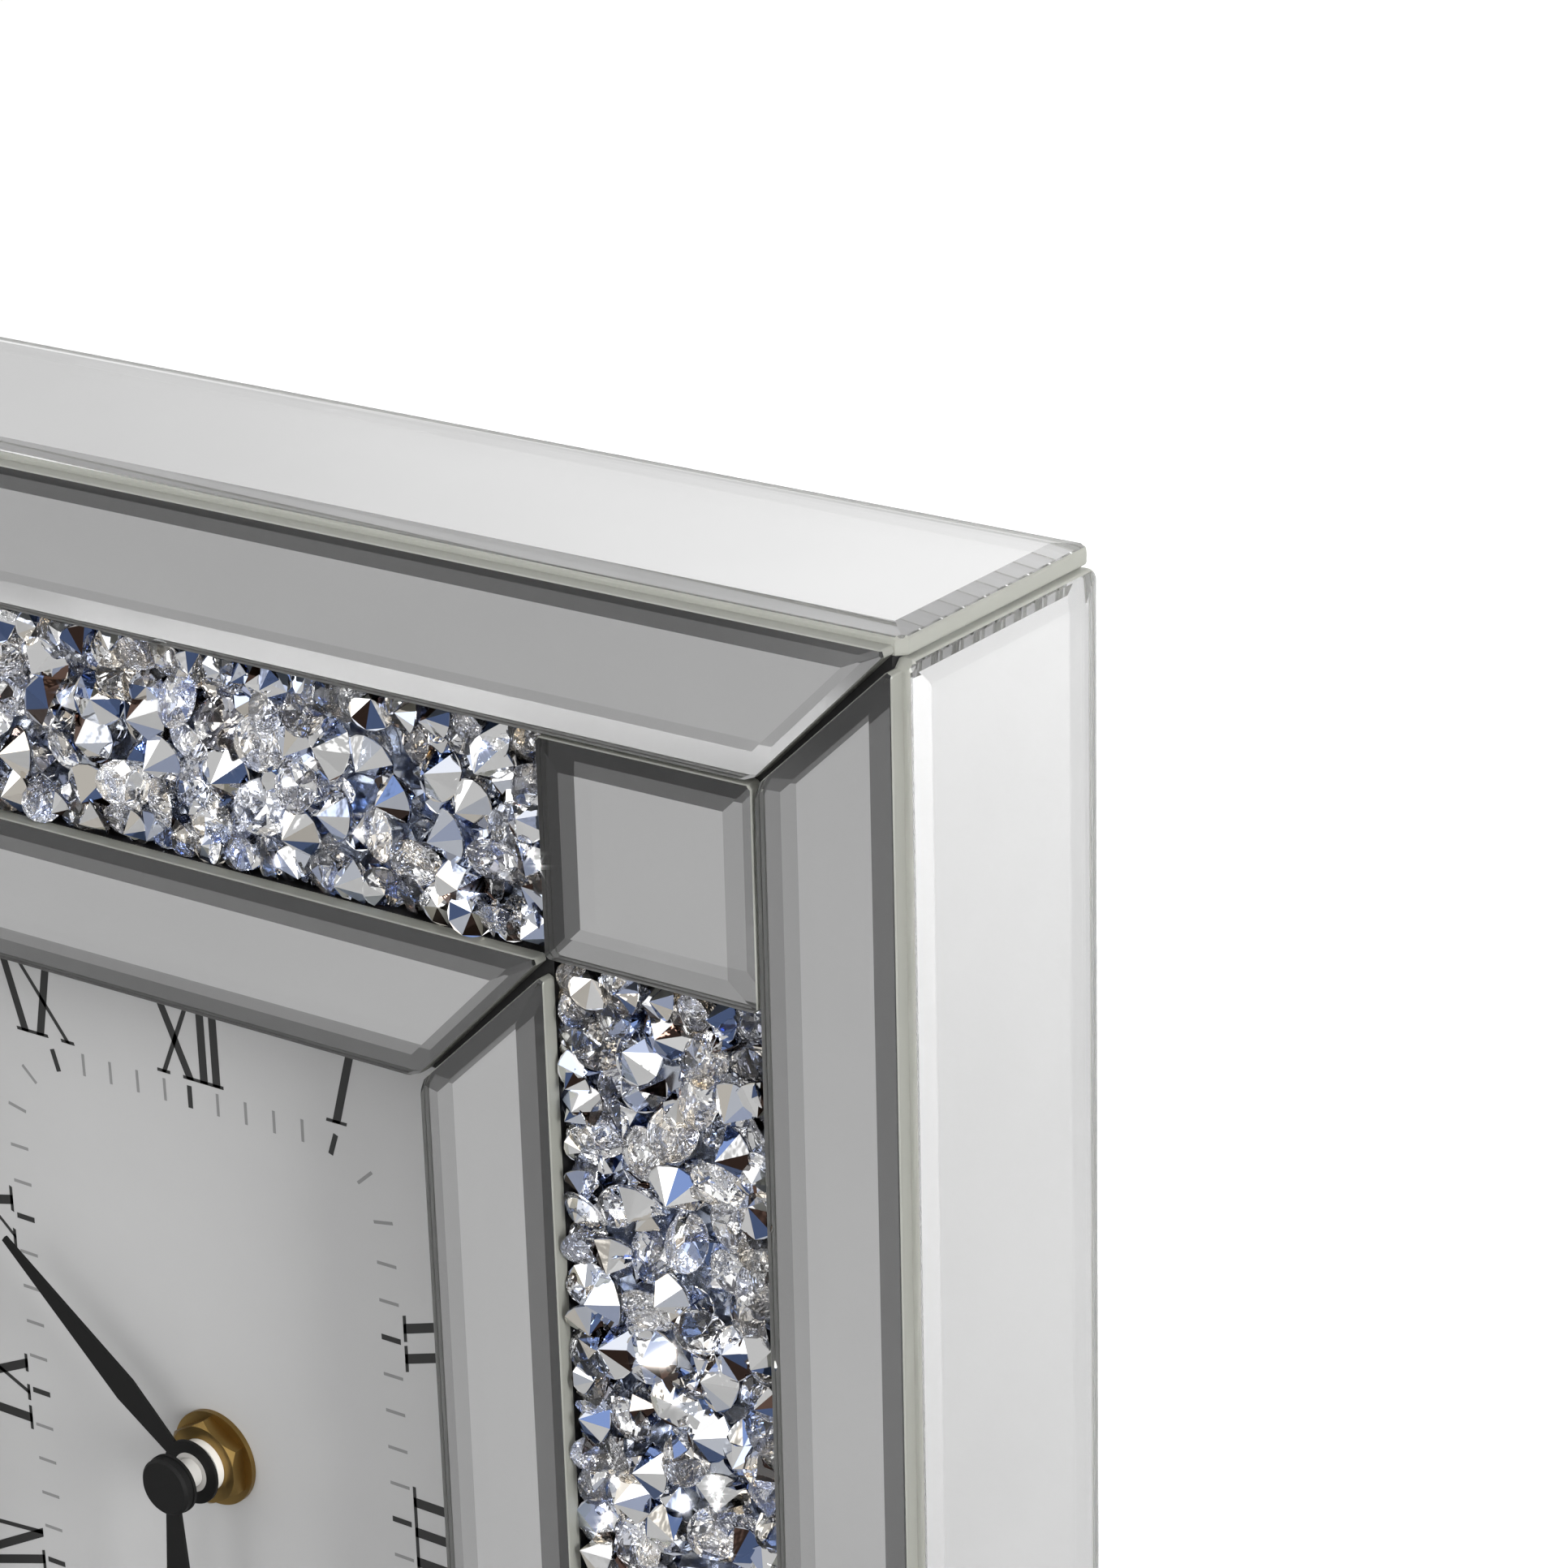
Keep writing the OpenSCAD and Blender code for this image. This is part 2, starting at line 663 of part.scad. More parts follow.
module motion_wheel() {
    color([0.93, 0.93, 0.92]) difference() {
        union() {
            gear(motion_teeth, gear_module, motion_layer, wheels_end, motion_pos, motion_turn);
            gear(small_teeth, hour_module, hour_layer, motion_layer + eps, motion_pos, motion_dir + 180);
        }
        bar(hour_layer - eps, wheels_end + eps, post_r + run_gap, motion_pos);
    }
}

module hour_wheel() {
    color([0.93, 0.93, 0.92]) difference() {
        union() {
            gear(hour_teeth, hour_module, hour_layer, hour_layer + wheel_t, [0, 0], motion_dir + 180 / hour_teeth);
            bar(hour_depth - hand_t, hour_layer + eps, hour_tube_d / 2);
        }
        bar(hour_depth - hand_t - eps, hour_layer + wheel_t + eps, arbor_d / 2 + run_gap);
    }
}

// The setting knob: a grip outside the cover, its shaft, and a pinion on the motion wheel.
module setting_knob() {
    grip_near = cover_depth + wall_t + knob_gap;
    notches = 12;
    notch_r = 0.8;
    collar_h = 1;
    turn = knob_dir + 180 + 180 / knob_teeth + (knob_dir - motion_turn) * motion_teeth / knob_teeth;
    color(plastic_colour) difference() {
        union() {
            bar(grip_near, grip_near + knob_h, knob_d / 2, knob_pos);
            bar(motion_layer, grip_near + eps, knob_shaft_r, knob_pos);
            gear(knob_teeth, gear_module, motion_layer - pinion_over, wheels_end + pinion_over, knob_pos, turn);
        }
        for (k = [0:notches - 1]) {
            spot = knob_pos + polar(knob_d / 2, 360 * k / notches);
            bar(grip_near + collar_h, grip_near + knob_h + eps, notch_r, spot);
        }
    }
}

// The stepping motor's coil lies across the top right of the housing, on the stator.
coil_pos = [14, inner_half - 6.5];
coil_half = 8;
coil_r = 3.6;
stator_t = 0.8;
stator_pin_r = 0.8;
stator_pins = [coil_pos + [6, -10.5], coil_pos + [-6.2, -5.5]];

module coil() {
    flange_t = 0.8;
    flange_r = coil_r + 0.6;
    color([0.66, 0.36, 0.2]) facing(cover_depth - stator_t - flange_r) translate([coil_pos[0], coil_pos[1], 0])
        rotate([0, 90, 0]) {
            cylinder(h = 2 * coil_half - 2 * flange_t + eps, r = coil_r, center = true);
            for (side = [-1, 1]) translate([0, 0, side * (coil_half - flange_t / 2)])
                cylinder(h = flange_t, r = flange_r, center = true);
        }
}

// The stator is a flat plate on two pins of the cover, with a hole for the rotor and a slot.
module stator() {
    near = cover_depth - stator_t;
    color([0.6, 0.6, 0.62]) difference() {
        slab(coil_half, 8, near, cover_depth, coil_pos + [0, -5]);
        bar(near - eps, cover_depth + eps, 2.6, coil_pos + [-3, -9.5]);
        slab(3.6, 1.4, near - eps, cover_depth + eps, coil_pos + [1, -3.6]);
        for (spot = stator_pins) bar(near - eps, cover_depth + eps, stator_pin_r, spot);
    }
}

circuit_pos = [15, -3.4];
circuit_t = 1;
module circuit_board() {
    color([0.1, 0.35, 0.2]) slab(10, 5.6, cover_depth - circuit_t, cover_depth, circuit_pos);
}

module quartz_can() {
    can_r = 1;
    can_len = 6;
    color([0.78, 0.78, 0.8]) facing(cover_depth - circuit_t - can_r)
        translate([circuit_pos[0] - can_len / 2, circuit_pos[1], 0]) rotate([0, 90, 0])
            cylinder(h = can_len, r = can_r);
}

front_board();
rail_left();
rail_right();
rail_top();
rail_bottom();
back_board();
back_screws();
foot_pads();
mirror_top();
mirror_bottom();
mirror_left();
mirror_right();
outer_strip_top();
outer_strip_bottom();
outer_strip_left();
outer_strip_right();
inner_strip_top();
inner_strip_bottom();
inner_strip_left();
inner_strip_right();
corner_mirror_top_left();
corner_mirror_top_right();
corner_mirror_bottom_left();
corner_mirror_bottom_right();
crystal_film_top();
crystal_film_bottom();
crystal_film_left();
crystal_film_right();
crystals_top();
crystals_bottom();
crystals_left();
crystals_right();
dial_sheet();
dial_board();
hour_hand();
minute_hand();
hand_cap();
washer();
hex_nut();
gasket();
movement_housing();
movement_cover();
battery();
battery_contacts();
minute_arbor();
motion_wheel();
hour_wheel();
setting_knob();
coil();
stator();
circuit_board();
quartz_can();
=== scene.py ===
# %% [markdown]
# A mirrored table clock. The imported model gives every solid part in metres: the case sits with its
# feet on z = 0 and its dial looks along -Y. This script keeps those solids, makes better pieces
# where glass, cut stones or print need them, and gives every surface a finish.

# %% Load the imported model
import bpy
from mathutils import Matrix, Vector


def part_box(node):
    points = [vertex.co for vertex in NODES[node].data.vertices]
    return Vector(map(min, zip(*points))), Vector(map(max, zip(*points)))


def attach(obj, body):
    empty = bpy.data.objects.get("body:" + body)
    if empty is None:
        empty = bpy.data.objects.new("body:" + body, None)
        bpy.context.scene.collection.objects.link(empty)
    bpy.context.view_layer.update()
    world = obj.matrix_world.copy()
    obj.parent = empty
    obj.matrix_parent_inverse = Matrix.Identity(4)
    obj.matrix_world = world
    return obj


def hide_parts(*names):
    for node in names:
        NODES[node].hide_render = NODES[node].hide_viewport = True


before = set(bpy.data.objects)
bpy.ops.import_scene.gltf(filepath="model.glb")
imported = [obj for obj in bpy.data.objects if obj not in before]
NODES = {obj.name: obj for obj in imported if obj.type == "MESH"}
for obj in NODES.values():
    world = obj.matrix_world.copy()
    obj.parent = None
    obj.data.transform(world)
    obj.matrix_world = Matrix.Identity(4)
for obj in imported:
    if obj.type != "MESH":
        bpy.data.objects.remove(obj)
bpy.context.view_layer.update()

import math

import bmesh
import bpy
from mathutils import Matrix, Vector

MM = 0.001

# %% [markdown]
# The dial's plane is where everything on the front is measured from. A point there is written as x
# to the right and y up from the hands' axis, and a depth that counts backwards from the faces of the
# front strips, all in millimetres, as a clock maker would note them.

# %% Places on the dial
STRIP_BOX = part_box("outer_strip_top")
FRONT_Y = STRIP_BOX[0].y
AXIS = sum(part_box("washer"), Vector()) / 2
DIAL_DEPTH = (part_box("dial_sheet")[0].y - FRONT_Y) / MM


def on_dial(x, y, depth):
    """The point that lies x, y and depth mm from the dial's middle and the strips' faces."""
    return Vector((AXIS.x + x * MM, FRONT_Y + depth * MM, AXIS.z + y * MM))


def new_object(name, data):
    """An object in the scene for that mesh, lamp, curve or camera."""
    item = bpy.data.objects.new(name, data)
    bpy.context.scene.collection.objects.link(item)
    return item


print("dial face lies", round(DIAL_DEPTH, 2), "mm behind the front glass")

# %% [markdown]
# Every colour below is written as the hex value that a paint card or a screen shows. Blender works
# with linear light, so one function turns the hex value into it.

# %% Colours


def linear(hex_value):
    """An sRGB hex colour as linear red, green, blue and alpha."""
    def channel(text):
        c = int(text, 16) / 255
        return c / 12.92 if c <= 0.04045 else ((c + 0.055) / 1.055) ** 2.4
    digits = hex_value.lstrip("#")
    return tuple(channel(digits[i:i + 2]) for i in (0, 2, 4)) + (1.0,)


print("mid grey as linear light:", round(linear("#808080")[0], 3))

# %% [markdown]
# Materials and trees are made of nodes and the links between them. These functions write one from
# real values: a node with all that goes into it, a surface, and a relief whose grain and depth are
# given in millimetres.

# %% Nodes, materials and relief


def in_use(sockets, key):
    """The socket of that number or name. A name can occur twice, so the one in use is picked."""
    if isinstance(key, int):
        return sockets[key]
    return next(s for s in sockets if s.name == key and s.enabled)


def add_node(tree, kind, settings=None, inputs=None, links=None):
    """Adds a node: settings are its properties, inputs its sockets' values, links what feeds them."""
    node = tree.nodes.new(kind)
    for name, value in (settings or {}).items():
        setattr(node, name, value)
    for key, value in (inputs or {}).items():
        in_use(node.inputs, key).default_value = value
    for key, source in (links or {}).items():
        tree.links.new(source, in_use(node.inputs, key))
    return node


def new_material(name, **surface):
    """A material with one Principled surface. surface gives its sockets' values by name."""
    material = bpy.data.materials.new(name)
    material.use_nodes = True
    shader = material.node_tree.nodes["Principled BSDF"]
    for key, value in surface.items():
        shader.inputs[key.replace("_", " ")].default_value = value
    return material, material.node_tree, shader


def stops(ramp_node, pairs):
    """Writes a colour ramp's stops: pairs of position and colour."""
    ramp = ramp_node.color_ramp
    while len(ramp.elements) < len(pairs):
        ramp.elements.new(1.0)
    for element, (position, colour) in zip(ramp.elements, pairs):
        element.position = position
        element.color = colour


def steps(ramp_node, tones):
    """Writes a colour ramp that doesn't blend: pairs of position and hex colour."""
    ramp_node.color_ramp.interpolation = "CONSTANT"
    stops(ramp_node, [(place, linear(colour)) for place, colour in tones])


def grain(tree, size, detail=2.0):
    """Noise from 0 to 1 with grains of that size in mm. Object coordinates are plain metres here."""
    place = add_node(tree, "ShaderNodeTexCoord")
    noise = add_node(tree, "ShaderNodeTexNoise", inputs={"Scale": 1 / (size * MM), "Detail": detail},
                     links={"Vector": place.outputs["Object"]})
    return noise.outputs["Fac"]


def roughen(tree, shader, height, depth, strength=1.0):
    """Turns a height from 0 to 1 into a bump of that depth in mm."""
    bump = add_node(tree, "ShaderNodeBump", inputs={"Strength": strength, "Distance": depth * MM},
                    links={"Height": height})
    tree.links.new(bump.outputs["Normal"], shader.inputs["Normal"])


# Nearly all of a noise lies between these two of its values
NOISE_LOW, NOISE_HIGH = 0.3, 0.7
print("a grain of 1 mm is noise of scale", round(1 / MM))

# %% [markdown]
# The camera was found by fitting the clock's own edges to the photograph. Its place, its turn and
# its focal length are all there is to it: there is no shift and no depth of field.

# %% Camera
CAMERA_FROM_DIAL_MM = (428.99, -436.58, 336.79)
CAMERA_AZIMUTH = math.radians(35.964)
CAMERA_ELEVATION = math.radians(21.03)
CAMERA_ROLL = math.radians(-1.546)
FOCAL_PX = 6024.26
PHOTO_PX = 1932
SENSOR_MM = 36.0

camera_data = bpy.data.cameras.new("camera")
camera_data.sensor_width = SENSOR_MM
camera_data.lens = FOCAL_PX / PHOTO_PX * SENSOR_MM
camera_data.clip_start = 0.01
camera = new_object("camera", camera_data)
looks_back = Vector((
    math.sin(CAMERA_AZIMUTH) * math.cos(CAMERA_ELEVATION),
    -math.cos(CAMERA_AZIMUTH) * math.cos(CAMERA_ELEVATION),
    math.sin(CAMERA_ELEVATION),
))
turn = looks_back.to_track_quat("Z", "Y") @ Matrix.Rotation(CAMERA_ROLL, 3, "Z").to_quaternion()
camera.rotation_mode = "QUATERNION"
camera.rotation_quaternion = turn
camera.location = on_dial(CAMERA_FROM_DIAL_MM[0], CAMERA_FROM_DIAL_MM[2], CAMERA_FROM_DIAL_MM[1])
bpy.context.scene.camera = camera
print("lens", round(camera_data.lens, 2), "mm")

# %% [markdown]
# A mirror shows its room, so the studio is half of the picture. The flat mirrors look down at the
# floor in front of the clock, the top and the side mirror at the floor behind it. So one pale floor
# lies under soft lamps, and each lamp lights the part of the floor that one of the mirrors shows.

# %% Floor
FLOOR_HALF = 8.0
FLOOR_COLOUR = "#9C9C9C"

corners = [(x * FLOOR_HALF, y * FLOOR_HALF, 0) for x, y in ((-1, -1), (1, -1), (1, 1), (-1, 1))]
floor_mesh = bpy.data.meshes.new("floor")
floor_mesh.from_pydata(corners, [], [(0, 1, 2, 3)])
floor = new_object("floor", floor_mesh)
floor_paint, _, _ = new_material("studio_floor_paint", Base_Color=linear(FLOOR_COLOUR), Roughness=0.9)
floor_mesh.materials.append(floor_paint)
print("floor", 2 * FLOOR_HALF, "m wide")

# %% Soft lamps
# Each lamp: its place, the point it looks at, its width and length in metres, its power in watts and
# the angle that its louvres let through.
SOFT_LAMPS = {
    "rear_overhead": ((-0.22, 1.5, 1.5), (-0.22, 1.2, 0.0), (1.8, 0.9), 31.0, 70.0),
    "rear_far": ((0.0, 4.6, 3.0), (0.0, 4.6, 0.0), (8.0, 4.0), 450.0, 70.0),
    "rear_close": ((-0.28, 0.47, 0.9), (-0.28, 0.47, 0.0), (0.5, 0.3), 3.8, 50.0),
    "right_grazing": ((1.5, -0.4, 0.55), (0.0, 0.0, 0.15), (0.5, 0.9), 4.0, 60.0),
    "far_floor": ((-1.1, -1.4, 0.6), (-1.1, -1.4, 0.0), (1.4, 0.25), 2.6, 50.0),
}


def soft_lamp(name, place, aim, size, power, spread):
    """A rectangular lamp at place that looks at aim."""
    lamp = bpy.data.lights.new(name, "AREA")
    lamp.shape = "RECTANGLE"
    lamp.size, lamp.size_y = size
    lamp.energy = power
    lamp.spread = math.radians(spread)
    body = new_object(name, lamp)
    body.location = place
    body.rotation_mode = "QUATERNION"
    body.rotation_quaternion = (Vector(place) - Vector(aim)).to_track_quat("Z", "Y")


for name, settings in SOFT_LAMPS.items():
    soft_lamp(name, *settings)
print("soft lamps", len(SOFT_LAMPS))

# %% [markdown]
# The world stands for the room's walls. Behind the clock is one bright wall. Round the rest stand
# tall light panels with darker gaps between them, and the ceiling in front of the clock has many
# small lamps. Panels and gaps give the stones light and dark facets, and the small lamps their sparks.

# %% The wall behind the clock
REAR_WALL_TOWARDS = (-0.163, 0.925, 0.342)
# How bright the wall behind the clock is, by how close a direction comes to its middle (1)
REAR_WALL = [(0.0, 0.0), (0.82, 0.0), (0.88, 0.6), (0.92, 0.66), (0.965, 0.98), (1.0, 1.06)]
# How much of the other walls shows, by the same measure
OTHER_WALLS = [(0.0, 1.0), (0.82, 1.0), (0.88, 0.0), (1.0, 0.0)]

world = bpy.data.worlds.new("studio_room")
world.use_nodes = True
bpy.context.scene.world = world
tree = world.node_tree
direction = add_node(tree, "ShaderNodeTexCoord").outputs["Generated"]


def light_towards(tree, direction, towards, levels):
    """Light by how close a direction comes to the one given: 0 is opposite, 1 is the same."""
    likeness = add_node(tree, "ShaderNodeVectorMath", {"operation": "DOT_PRODUCT"},
                        {1: Vector(towards).normalized()}, {0: direction})
    share = add_node(tree, "ShaderNodeMapRange", inputs={"From Min": -1.0, "From Max": 1.0},
                     links={"Value": likeness.outputs["Value"]})
    ramp = add_node(tree, "ShaderNodeValToRGB", links={"Fac": share.outputs["Result"]})
    stops(ramp, [(place, (level, level, level, 1)) for place, level in levels])
    return ramp.outputs["Color"]


behind_clock = light_towards(tree, direction, REAR_WALL_TOWARDS, REAR_WALL)
elsewhere = light_towards(tree, direction, REAR_WALL_TOWARDS, OTHER_WALLS)
print("brightest part of the rear wall", REAR_WALL[-1][1])

# %% Panels, gaps and ceiling
# Light panels stand evenly round the room. A turn moves them all, in radians of their own wave.
PANELS, PANEL_TURN = 7, 0.35
PANEL_LEVEL, GAP_LEVEL, CEILING_LEVEL = 1.75, 0.5, 1.0
# Where on the wave from -1 to 1 a panel starts and is full, and how far up the panels reach
PANEL_EDGE, PANEL_FULL, PANEL_TOP = 0.1, 0.5, 0.72

parts = add_node(tree, "ShaderNodeSeparateXYZ", links={"Vector": direction})
azimuth = add_node(tree, "ShaderNodeMath", {"operation": "ARCTAN2"},
                   links={0: parts.outputs["X"], 1: parts.outputs["Y"]})
turned = add_node(tree, "ShaderNodeMath", {"operation": "MULTIPLY_ADD"},
                  {1: float(PANELS), 2: PANEL_TURN}, {0: azimuth.outputs[0]})
wave = add_node(tree, "ShaderNodeMath", {"operation": "COSINE"}, links={0: turned.outputs[0]})
panel = add_node(tree, "ShaderNodeMapRange", {"interpolation_type": "SMOOTHSTEP"}, {
    "From Min": PANEL_EDGE, "From Max": PANEL_FULL, "To Min": GAP_LEVEL, "To Max": PANEL_LEVEL},
    {"Value": wave.outputs[0]})
under_ceiling = add_node(tree, "ShaderNodeMath", {"operation": "LESS_THAN"}, {1: PANEL_TOP},
                         {0: parts.outputs["Z"]})
room = add_node(tree, "ShaderNodeMix", {"data_type": "FLOAT"}, {"A": CEILING_LEVEL},
                {"Factor": under_ceiling.outputs[0], "B": panel.outputs["Result"]})
other_walls = (elsewhere, in_use(room.outputs, "Result"))
print("light panels", PANELS)

# %% Small lamps, and all light together
# Where the small lamps hang, from the opposite side (0) to the middle of the ceiling in front (1)
LAMPS_TOWARDS = (0.35, -0.45, 0.82)
LAMP_AREA = [(0.0, 0.0), (0.6, 0.0), (0.66, 1.0), (1.0, 1.0)]
LAMPS_PER_RADIAN, LAMP_STRENGTH = 7.0, 32.0
# How far from its middle a lamp is full and is out, as shares of the lamps' spacing
LAMP_CORE, LAMP_RIM = 0.09, 0.12

lamp_area = light_towards(tree, direction, LAMPS_TOWARDS, LAMP_AREA)
lamp_grid = add_node(tree, "ShaderNodeTexVoronoi", inputs={"Scale": LAMPS_PER_RADIAN},
                     links={"Vector": direction})
lamp = add_node(tree, "ShaderNodeMapRange", inputs={
    "From Min": LAMP_RIM, "From Max": LAMP_CORE, "To Max": LAMP_STRENGTH},
    links={"Value": lamp_grid.outputs["Distance"]})
small_lamps = (lamp_area, lamp.outputs["Result"])
light = behind_clock
for place, level in (other_walls, small_lamps):
    added = add_node(tree, "ShaderNodeVectorMath", {"operation": "MULTIPLY_ADD"},
                     links={0: place, 1: level, 2: light})
    light = added.outputs["Vector"]
tree.links.new(light, tree.nodes["Background"].inputs["Color"])
print("a small lamp is", LAMP_STRENGTH, "times as bright as white")

# %% [markdown]
# A lens draws a small star round a point that is far brighter than its surroundings. The picture
# gets that after it is rendered, from its own light alone. Light also passes many facets before it
# leaves a stone, so it may bounce more often than usual.

# %% Lens and bounces
STAR_THRESHOLD, STAR_STRENGTH, STAR_RAYS, STAR_FADE = 4.0, 0.7, 6, 0.75
BOUNCES, BOUNCES_OF_A_KIND = 32, 24

scene = bpy.context.scene
scene.view_settings.view_transform = "Standard"
scene.use_nodes = True
lens = scene.node_tree
lens.nodes.clear()
picture = add_node(lens, "CompositorNodeRLayers")
star = add_node(lens, "CompositorNodeGlare", {"glare_type": "STREAKS", "quality": "HIGH"}, {
    "Threshold": STAR_THRESHOLD, "Strength": STAR_STRENGTH, "Streaks": STAR_RAYS, "Iterations": 3,
    "Fade": STAR_FADE}, {"Image": picture.outputs["Image"]})
add_node(lens, "CompositorNodeComposite", links={"Image": star.outputs["Image"]})
scene.cycles.max_bounces = BOUNCES
scene.cycles.glossy_bounces = BOUNCES_OF_A_KIND
scene.cycles.transmission_bounces = BOUNCES_OF_A_KIND
print("bounces", BOUNCES)

# %% [markdown]
# A bevelled mirror is one sheet of float glass. Its front and its ground bevels are polished, its
# back is silvered, and its edge walls are left as the grinding wheel left them. Real refraction in a
# solid sheet draws the double bands along the bevels. Each kind of face gets its own material, and a
# later step picks it by which way the face looks.
# The bevels' greys and the darker edge walls are painted shade and light, picked by that look.

# %% Glass and silver


def polished_glass(name, colour, wave_size, wave_depth):
    """Clear glass whose surface waves a little, with waves of that size and depth in mm."""
    material, tree, shader = new_material(name, Base_Color=linear(colour), Roughness=0.0, IOR=1.52,
                                          Transmission_Weight=1.0)
    roughen(tree, shader, grain(tree, wave_size, 1.0), wave_depth)
    return material


# Float glass: clear and neutral, index 1.52. It came off the tin almost perfectly flat.
float_glass = polished_glass("polished_float_glass", "#FDFDFD", 90.0, 0.02)

# Bevels: the same glass, but each bends the view to another part of the room, so each kind is tinted a
# grey of painted shade or light.
deep_shade_bevel = polished_glass("polished_bevel_in_deep_shade", "#505050", 30.0, 0.06)
shade_bevel = polished_glass("polished_bevel_in_shade", "#646464", 30.0, 0.06)
light_bevel = polished_glass("polished_bevel_in_light", "#C6C6C6", 30.0, 0.06)

# Bevels that look down: the felt wheel left them wavy, so their bands run from light to dark. Their grey
# tints are painted shade too, darker on the inner strips.
wavy_bevel = polished_glass("felt_polished_wavy_bevel_in_light_shade", "#DEDEDE", 31.0, 0.7)
inner_shaded_wavy_bevel = polished_glass("felt_polished_bevel_in_shade", "#949494", 31.0, 0.4)

# Silvering: bright metal seen through the glass, with the faint unevenness of the chemical coat.
silvering, tree, shader = new_material("silvered_back", Metallic=1.0, Roughness=0.0)
coat_tone = add_node(tree, "ShaderNodeValToRGB", links={"Fac": grain(tree, 40.0, 3.0)})
stops(coat_tone, [(NOISE_LOW, linear("#F4F4F4")), (NOISE_HIGH, linear("#F9F9F9"))])
tree.links.new(coat_tone.outputs["Color"], shader.inputs["Base Color"])
print("clear glass, five bevels and a silvering")

# %% Ground edges
# Marks of the grinding wheel's grit. The real ones, near 0.1 mm, are finer than a pixel here, so they
# are drawn about four times as coarse to show at all.
GRIT, GRIT_DEPTH, GRIT_STRENGTH = 0.385, 0.02, 0.5


def ground_glass(name, colour, roughness, clearness):
    """A matt ground surface that lets part of the light through."""
    material, tree, shader = new_material(name, Base_Color=linear(colour), Roughness=roughness, IOR=1.52,
                                          Transmission_Weight=clearness)
    roughen(tree, shader, grain(tree, GRIT, 3.0), GRIT_DEPTH, GRIT_STRENGTH)
    return material


# Open edges: a fine matt surface of an olive grey, as thick glass shows on its edge.
ground_edge = ground_glass("ground_glass_edge", "#B6B7AE", 0.4, 0.65)
# Edges towards the stones, the dial and the mitres below: the same cut, darkened as painted shade.
shaded_edge = ground_glass("ground_edge_in_painted_shade", "#4C4D48", 0.45, 0.3)

SHEET_MATERIALS = [float_glass, silvering, ground_edge, shaded_edge, deep_shade_bevel, shade_bevel,
                   light_bevel, wavy_bevel, inner_shaded_wavy_bevel]
print("materials on a sheet", len(SHEET_MATERIALS))

# %% [markdown]
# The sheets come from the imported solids, so they have their exact sizes. A copy of the triangles is
# merged, its flat faces are joined, and every sharp outer edge gets the narrow arris that a glazier
# rubs on it. The back moves 0.05 mm away from the board for the glue.

# %% A copy of a solid, and a finished piece
# Corners closer than this, in metres, are one. Faces closer in angle than this are one flat face.
WELD = 1e-6
SAME_PLANE = math.radians(0.5)


def merged_copy(node):
    """The CAD node's triangles as one welded mesh with its flat faces joined."""
    shape = bmesh.new()
    shape.from_mesh(NODES[node].data)
    bmesh.ops.remove_doubles(shape, verts=shape.verts, dist=WELD)
    bmesh.ops.dissolve_limit(shape, angle_limit=SAME_PLANE, verts=shape.verts, edges=shape.edges)
    return shape


def new_piece(name, mesh, body, replaced=()):
    """The object of a finished mesh, with what it rides on and which solids it stands for."""
    piece = new_object(name, mesh)
    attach(piece, body)
    if replaced:
        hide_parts(*replaced)
    return piece


def worked_piece(name, shape, materials, body, replaced=()):
    """The object of a shape that was worked in bmesh."""
    mesh = bpy.data.meshes.new(name)
    shape.to_mesh(mesh)
    shape.free()
    for material in materials:
        mesh.materials.append(material)
    return new_piece(name, mesh, body, replaced)


print("solids to dress", len(NODES))

# %% Which finish each face of a sheet gets
# Which way the silvered back of each case mirror looks. The strips' backs look away from the viewer.
CASE_BACKS = {"top": (0, 0, -1), "bottom": (0, 0, 1), "left": (1, 0, 0), "right": (-1, 0, 0)}
STRIP_BACK = (0, 1, 0)
# How squarely a face looks towards the back: 1 is the back itself, 0 an edge wall, -1 the flat front
IS_BACK, IS_WALL, IS_FLAT_FRONT = 0.95, -0.8, -0.999
# How far an edge wall, or a bevel, has to lean one way to count as looking that way
WALL_LEAN, BEVEL_LEAN = 0.3, 0.03


def sheet_finish(node, normal, back):
    """The material for a face of the node's sheet, whose back looks that way."""
    towards_back = normal.dot(back)
    on_front = back.y > IS_BACK
    if towards_back > IS_BACK:
        return silvering
    if towards_back > IS_WALL:
        # Edge walls on the front that look down or left get the painted shade
        looks_down = normal.z < -WALL_LEAN
        looks_left = normal.x < -WALL_LEAN and normal.z < WALL_LEAN
        return shaded_edge if on_front and (looks_down or looks_left) else ground_edge
    if towards_back < IS_FLAT_FRONT or not on_front:
        return float_glass
    # What is left is a bevel of a sheet on the front. Its grey is painted shade or light, by which way
    # it looks.
    on_inner = node.startswith("inner_strip")
    if normal.z < -BEVEL_LEAN:
        return inner_shaded_wavy_bevel if on_inner else wavy_bevel
    if normal.z > BEVEL_LEAN:
        return shade_bevel if on_inner else deep_shade_bevel
    if node.startswith("corner_mirror"):
        return light_bevel if normal.x > 0 else deep_shade_bevel
    return light_bevel if normal.x < 0 else shade_bevel


finish = sheet_finish("outer_strip_top", Vector((0, -1, 0)), Vector(STRIP_BACK))
print("front of a strip:", finish.name)

# %% Mirror sheets
# Width of the rubbed edge in metres, and the steps it is drawn with
ARRIS = (0.15 * MM, 1)
# The case's sheets are rounded on the wheel, because fingers reach them
ROUNDED = (0.5 * MM, 3)
ARRIS_ANGLE = math.radians(60)
# How much further a level strip's long side reaches at each end, and the glue behind each sheet
MITRE_CLOSING = 1.6 * MM
GLUE = 0.05 * MM


def close_mitre(shape):
    """Lets the long side of a level strip reach further, so that its mitres close towards the corner."""
    low = min(abs(v.co.z - AXIS.z) for v in shape.verts)
    high = max(abs(v.co.z - AXIS.z) for v in shape.verts)
    for v in shape.verts:
        outwards = (abs(v.co.z - AXIS.z) - low) / (high - low)
        v.co.x += math.copysign(MITRE_CLOSING * outwards, v.co.x)


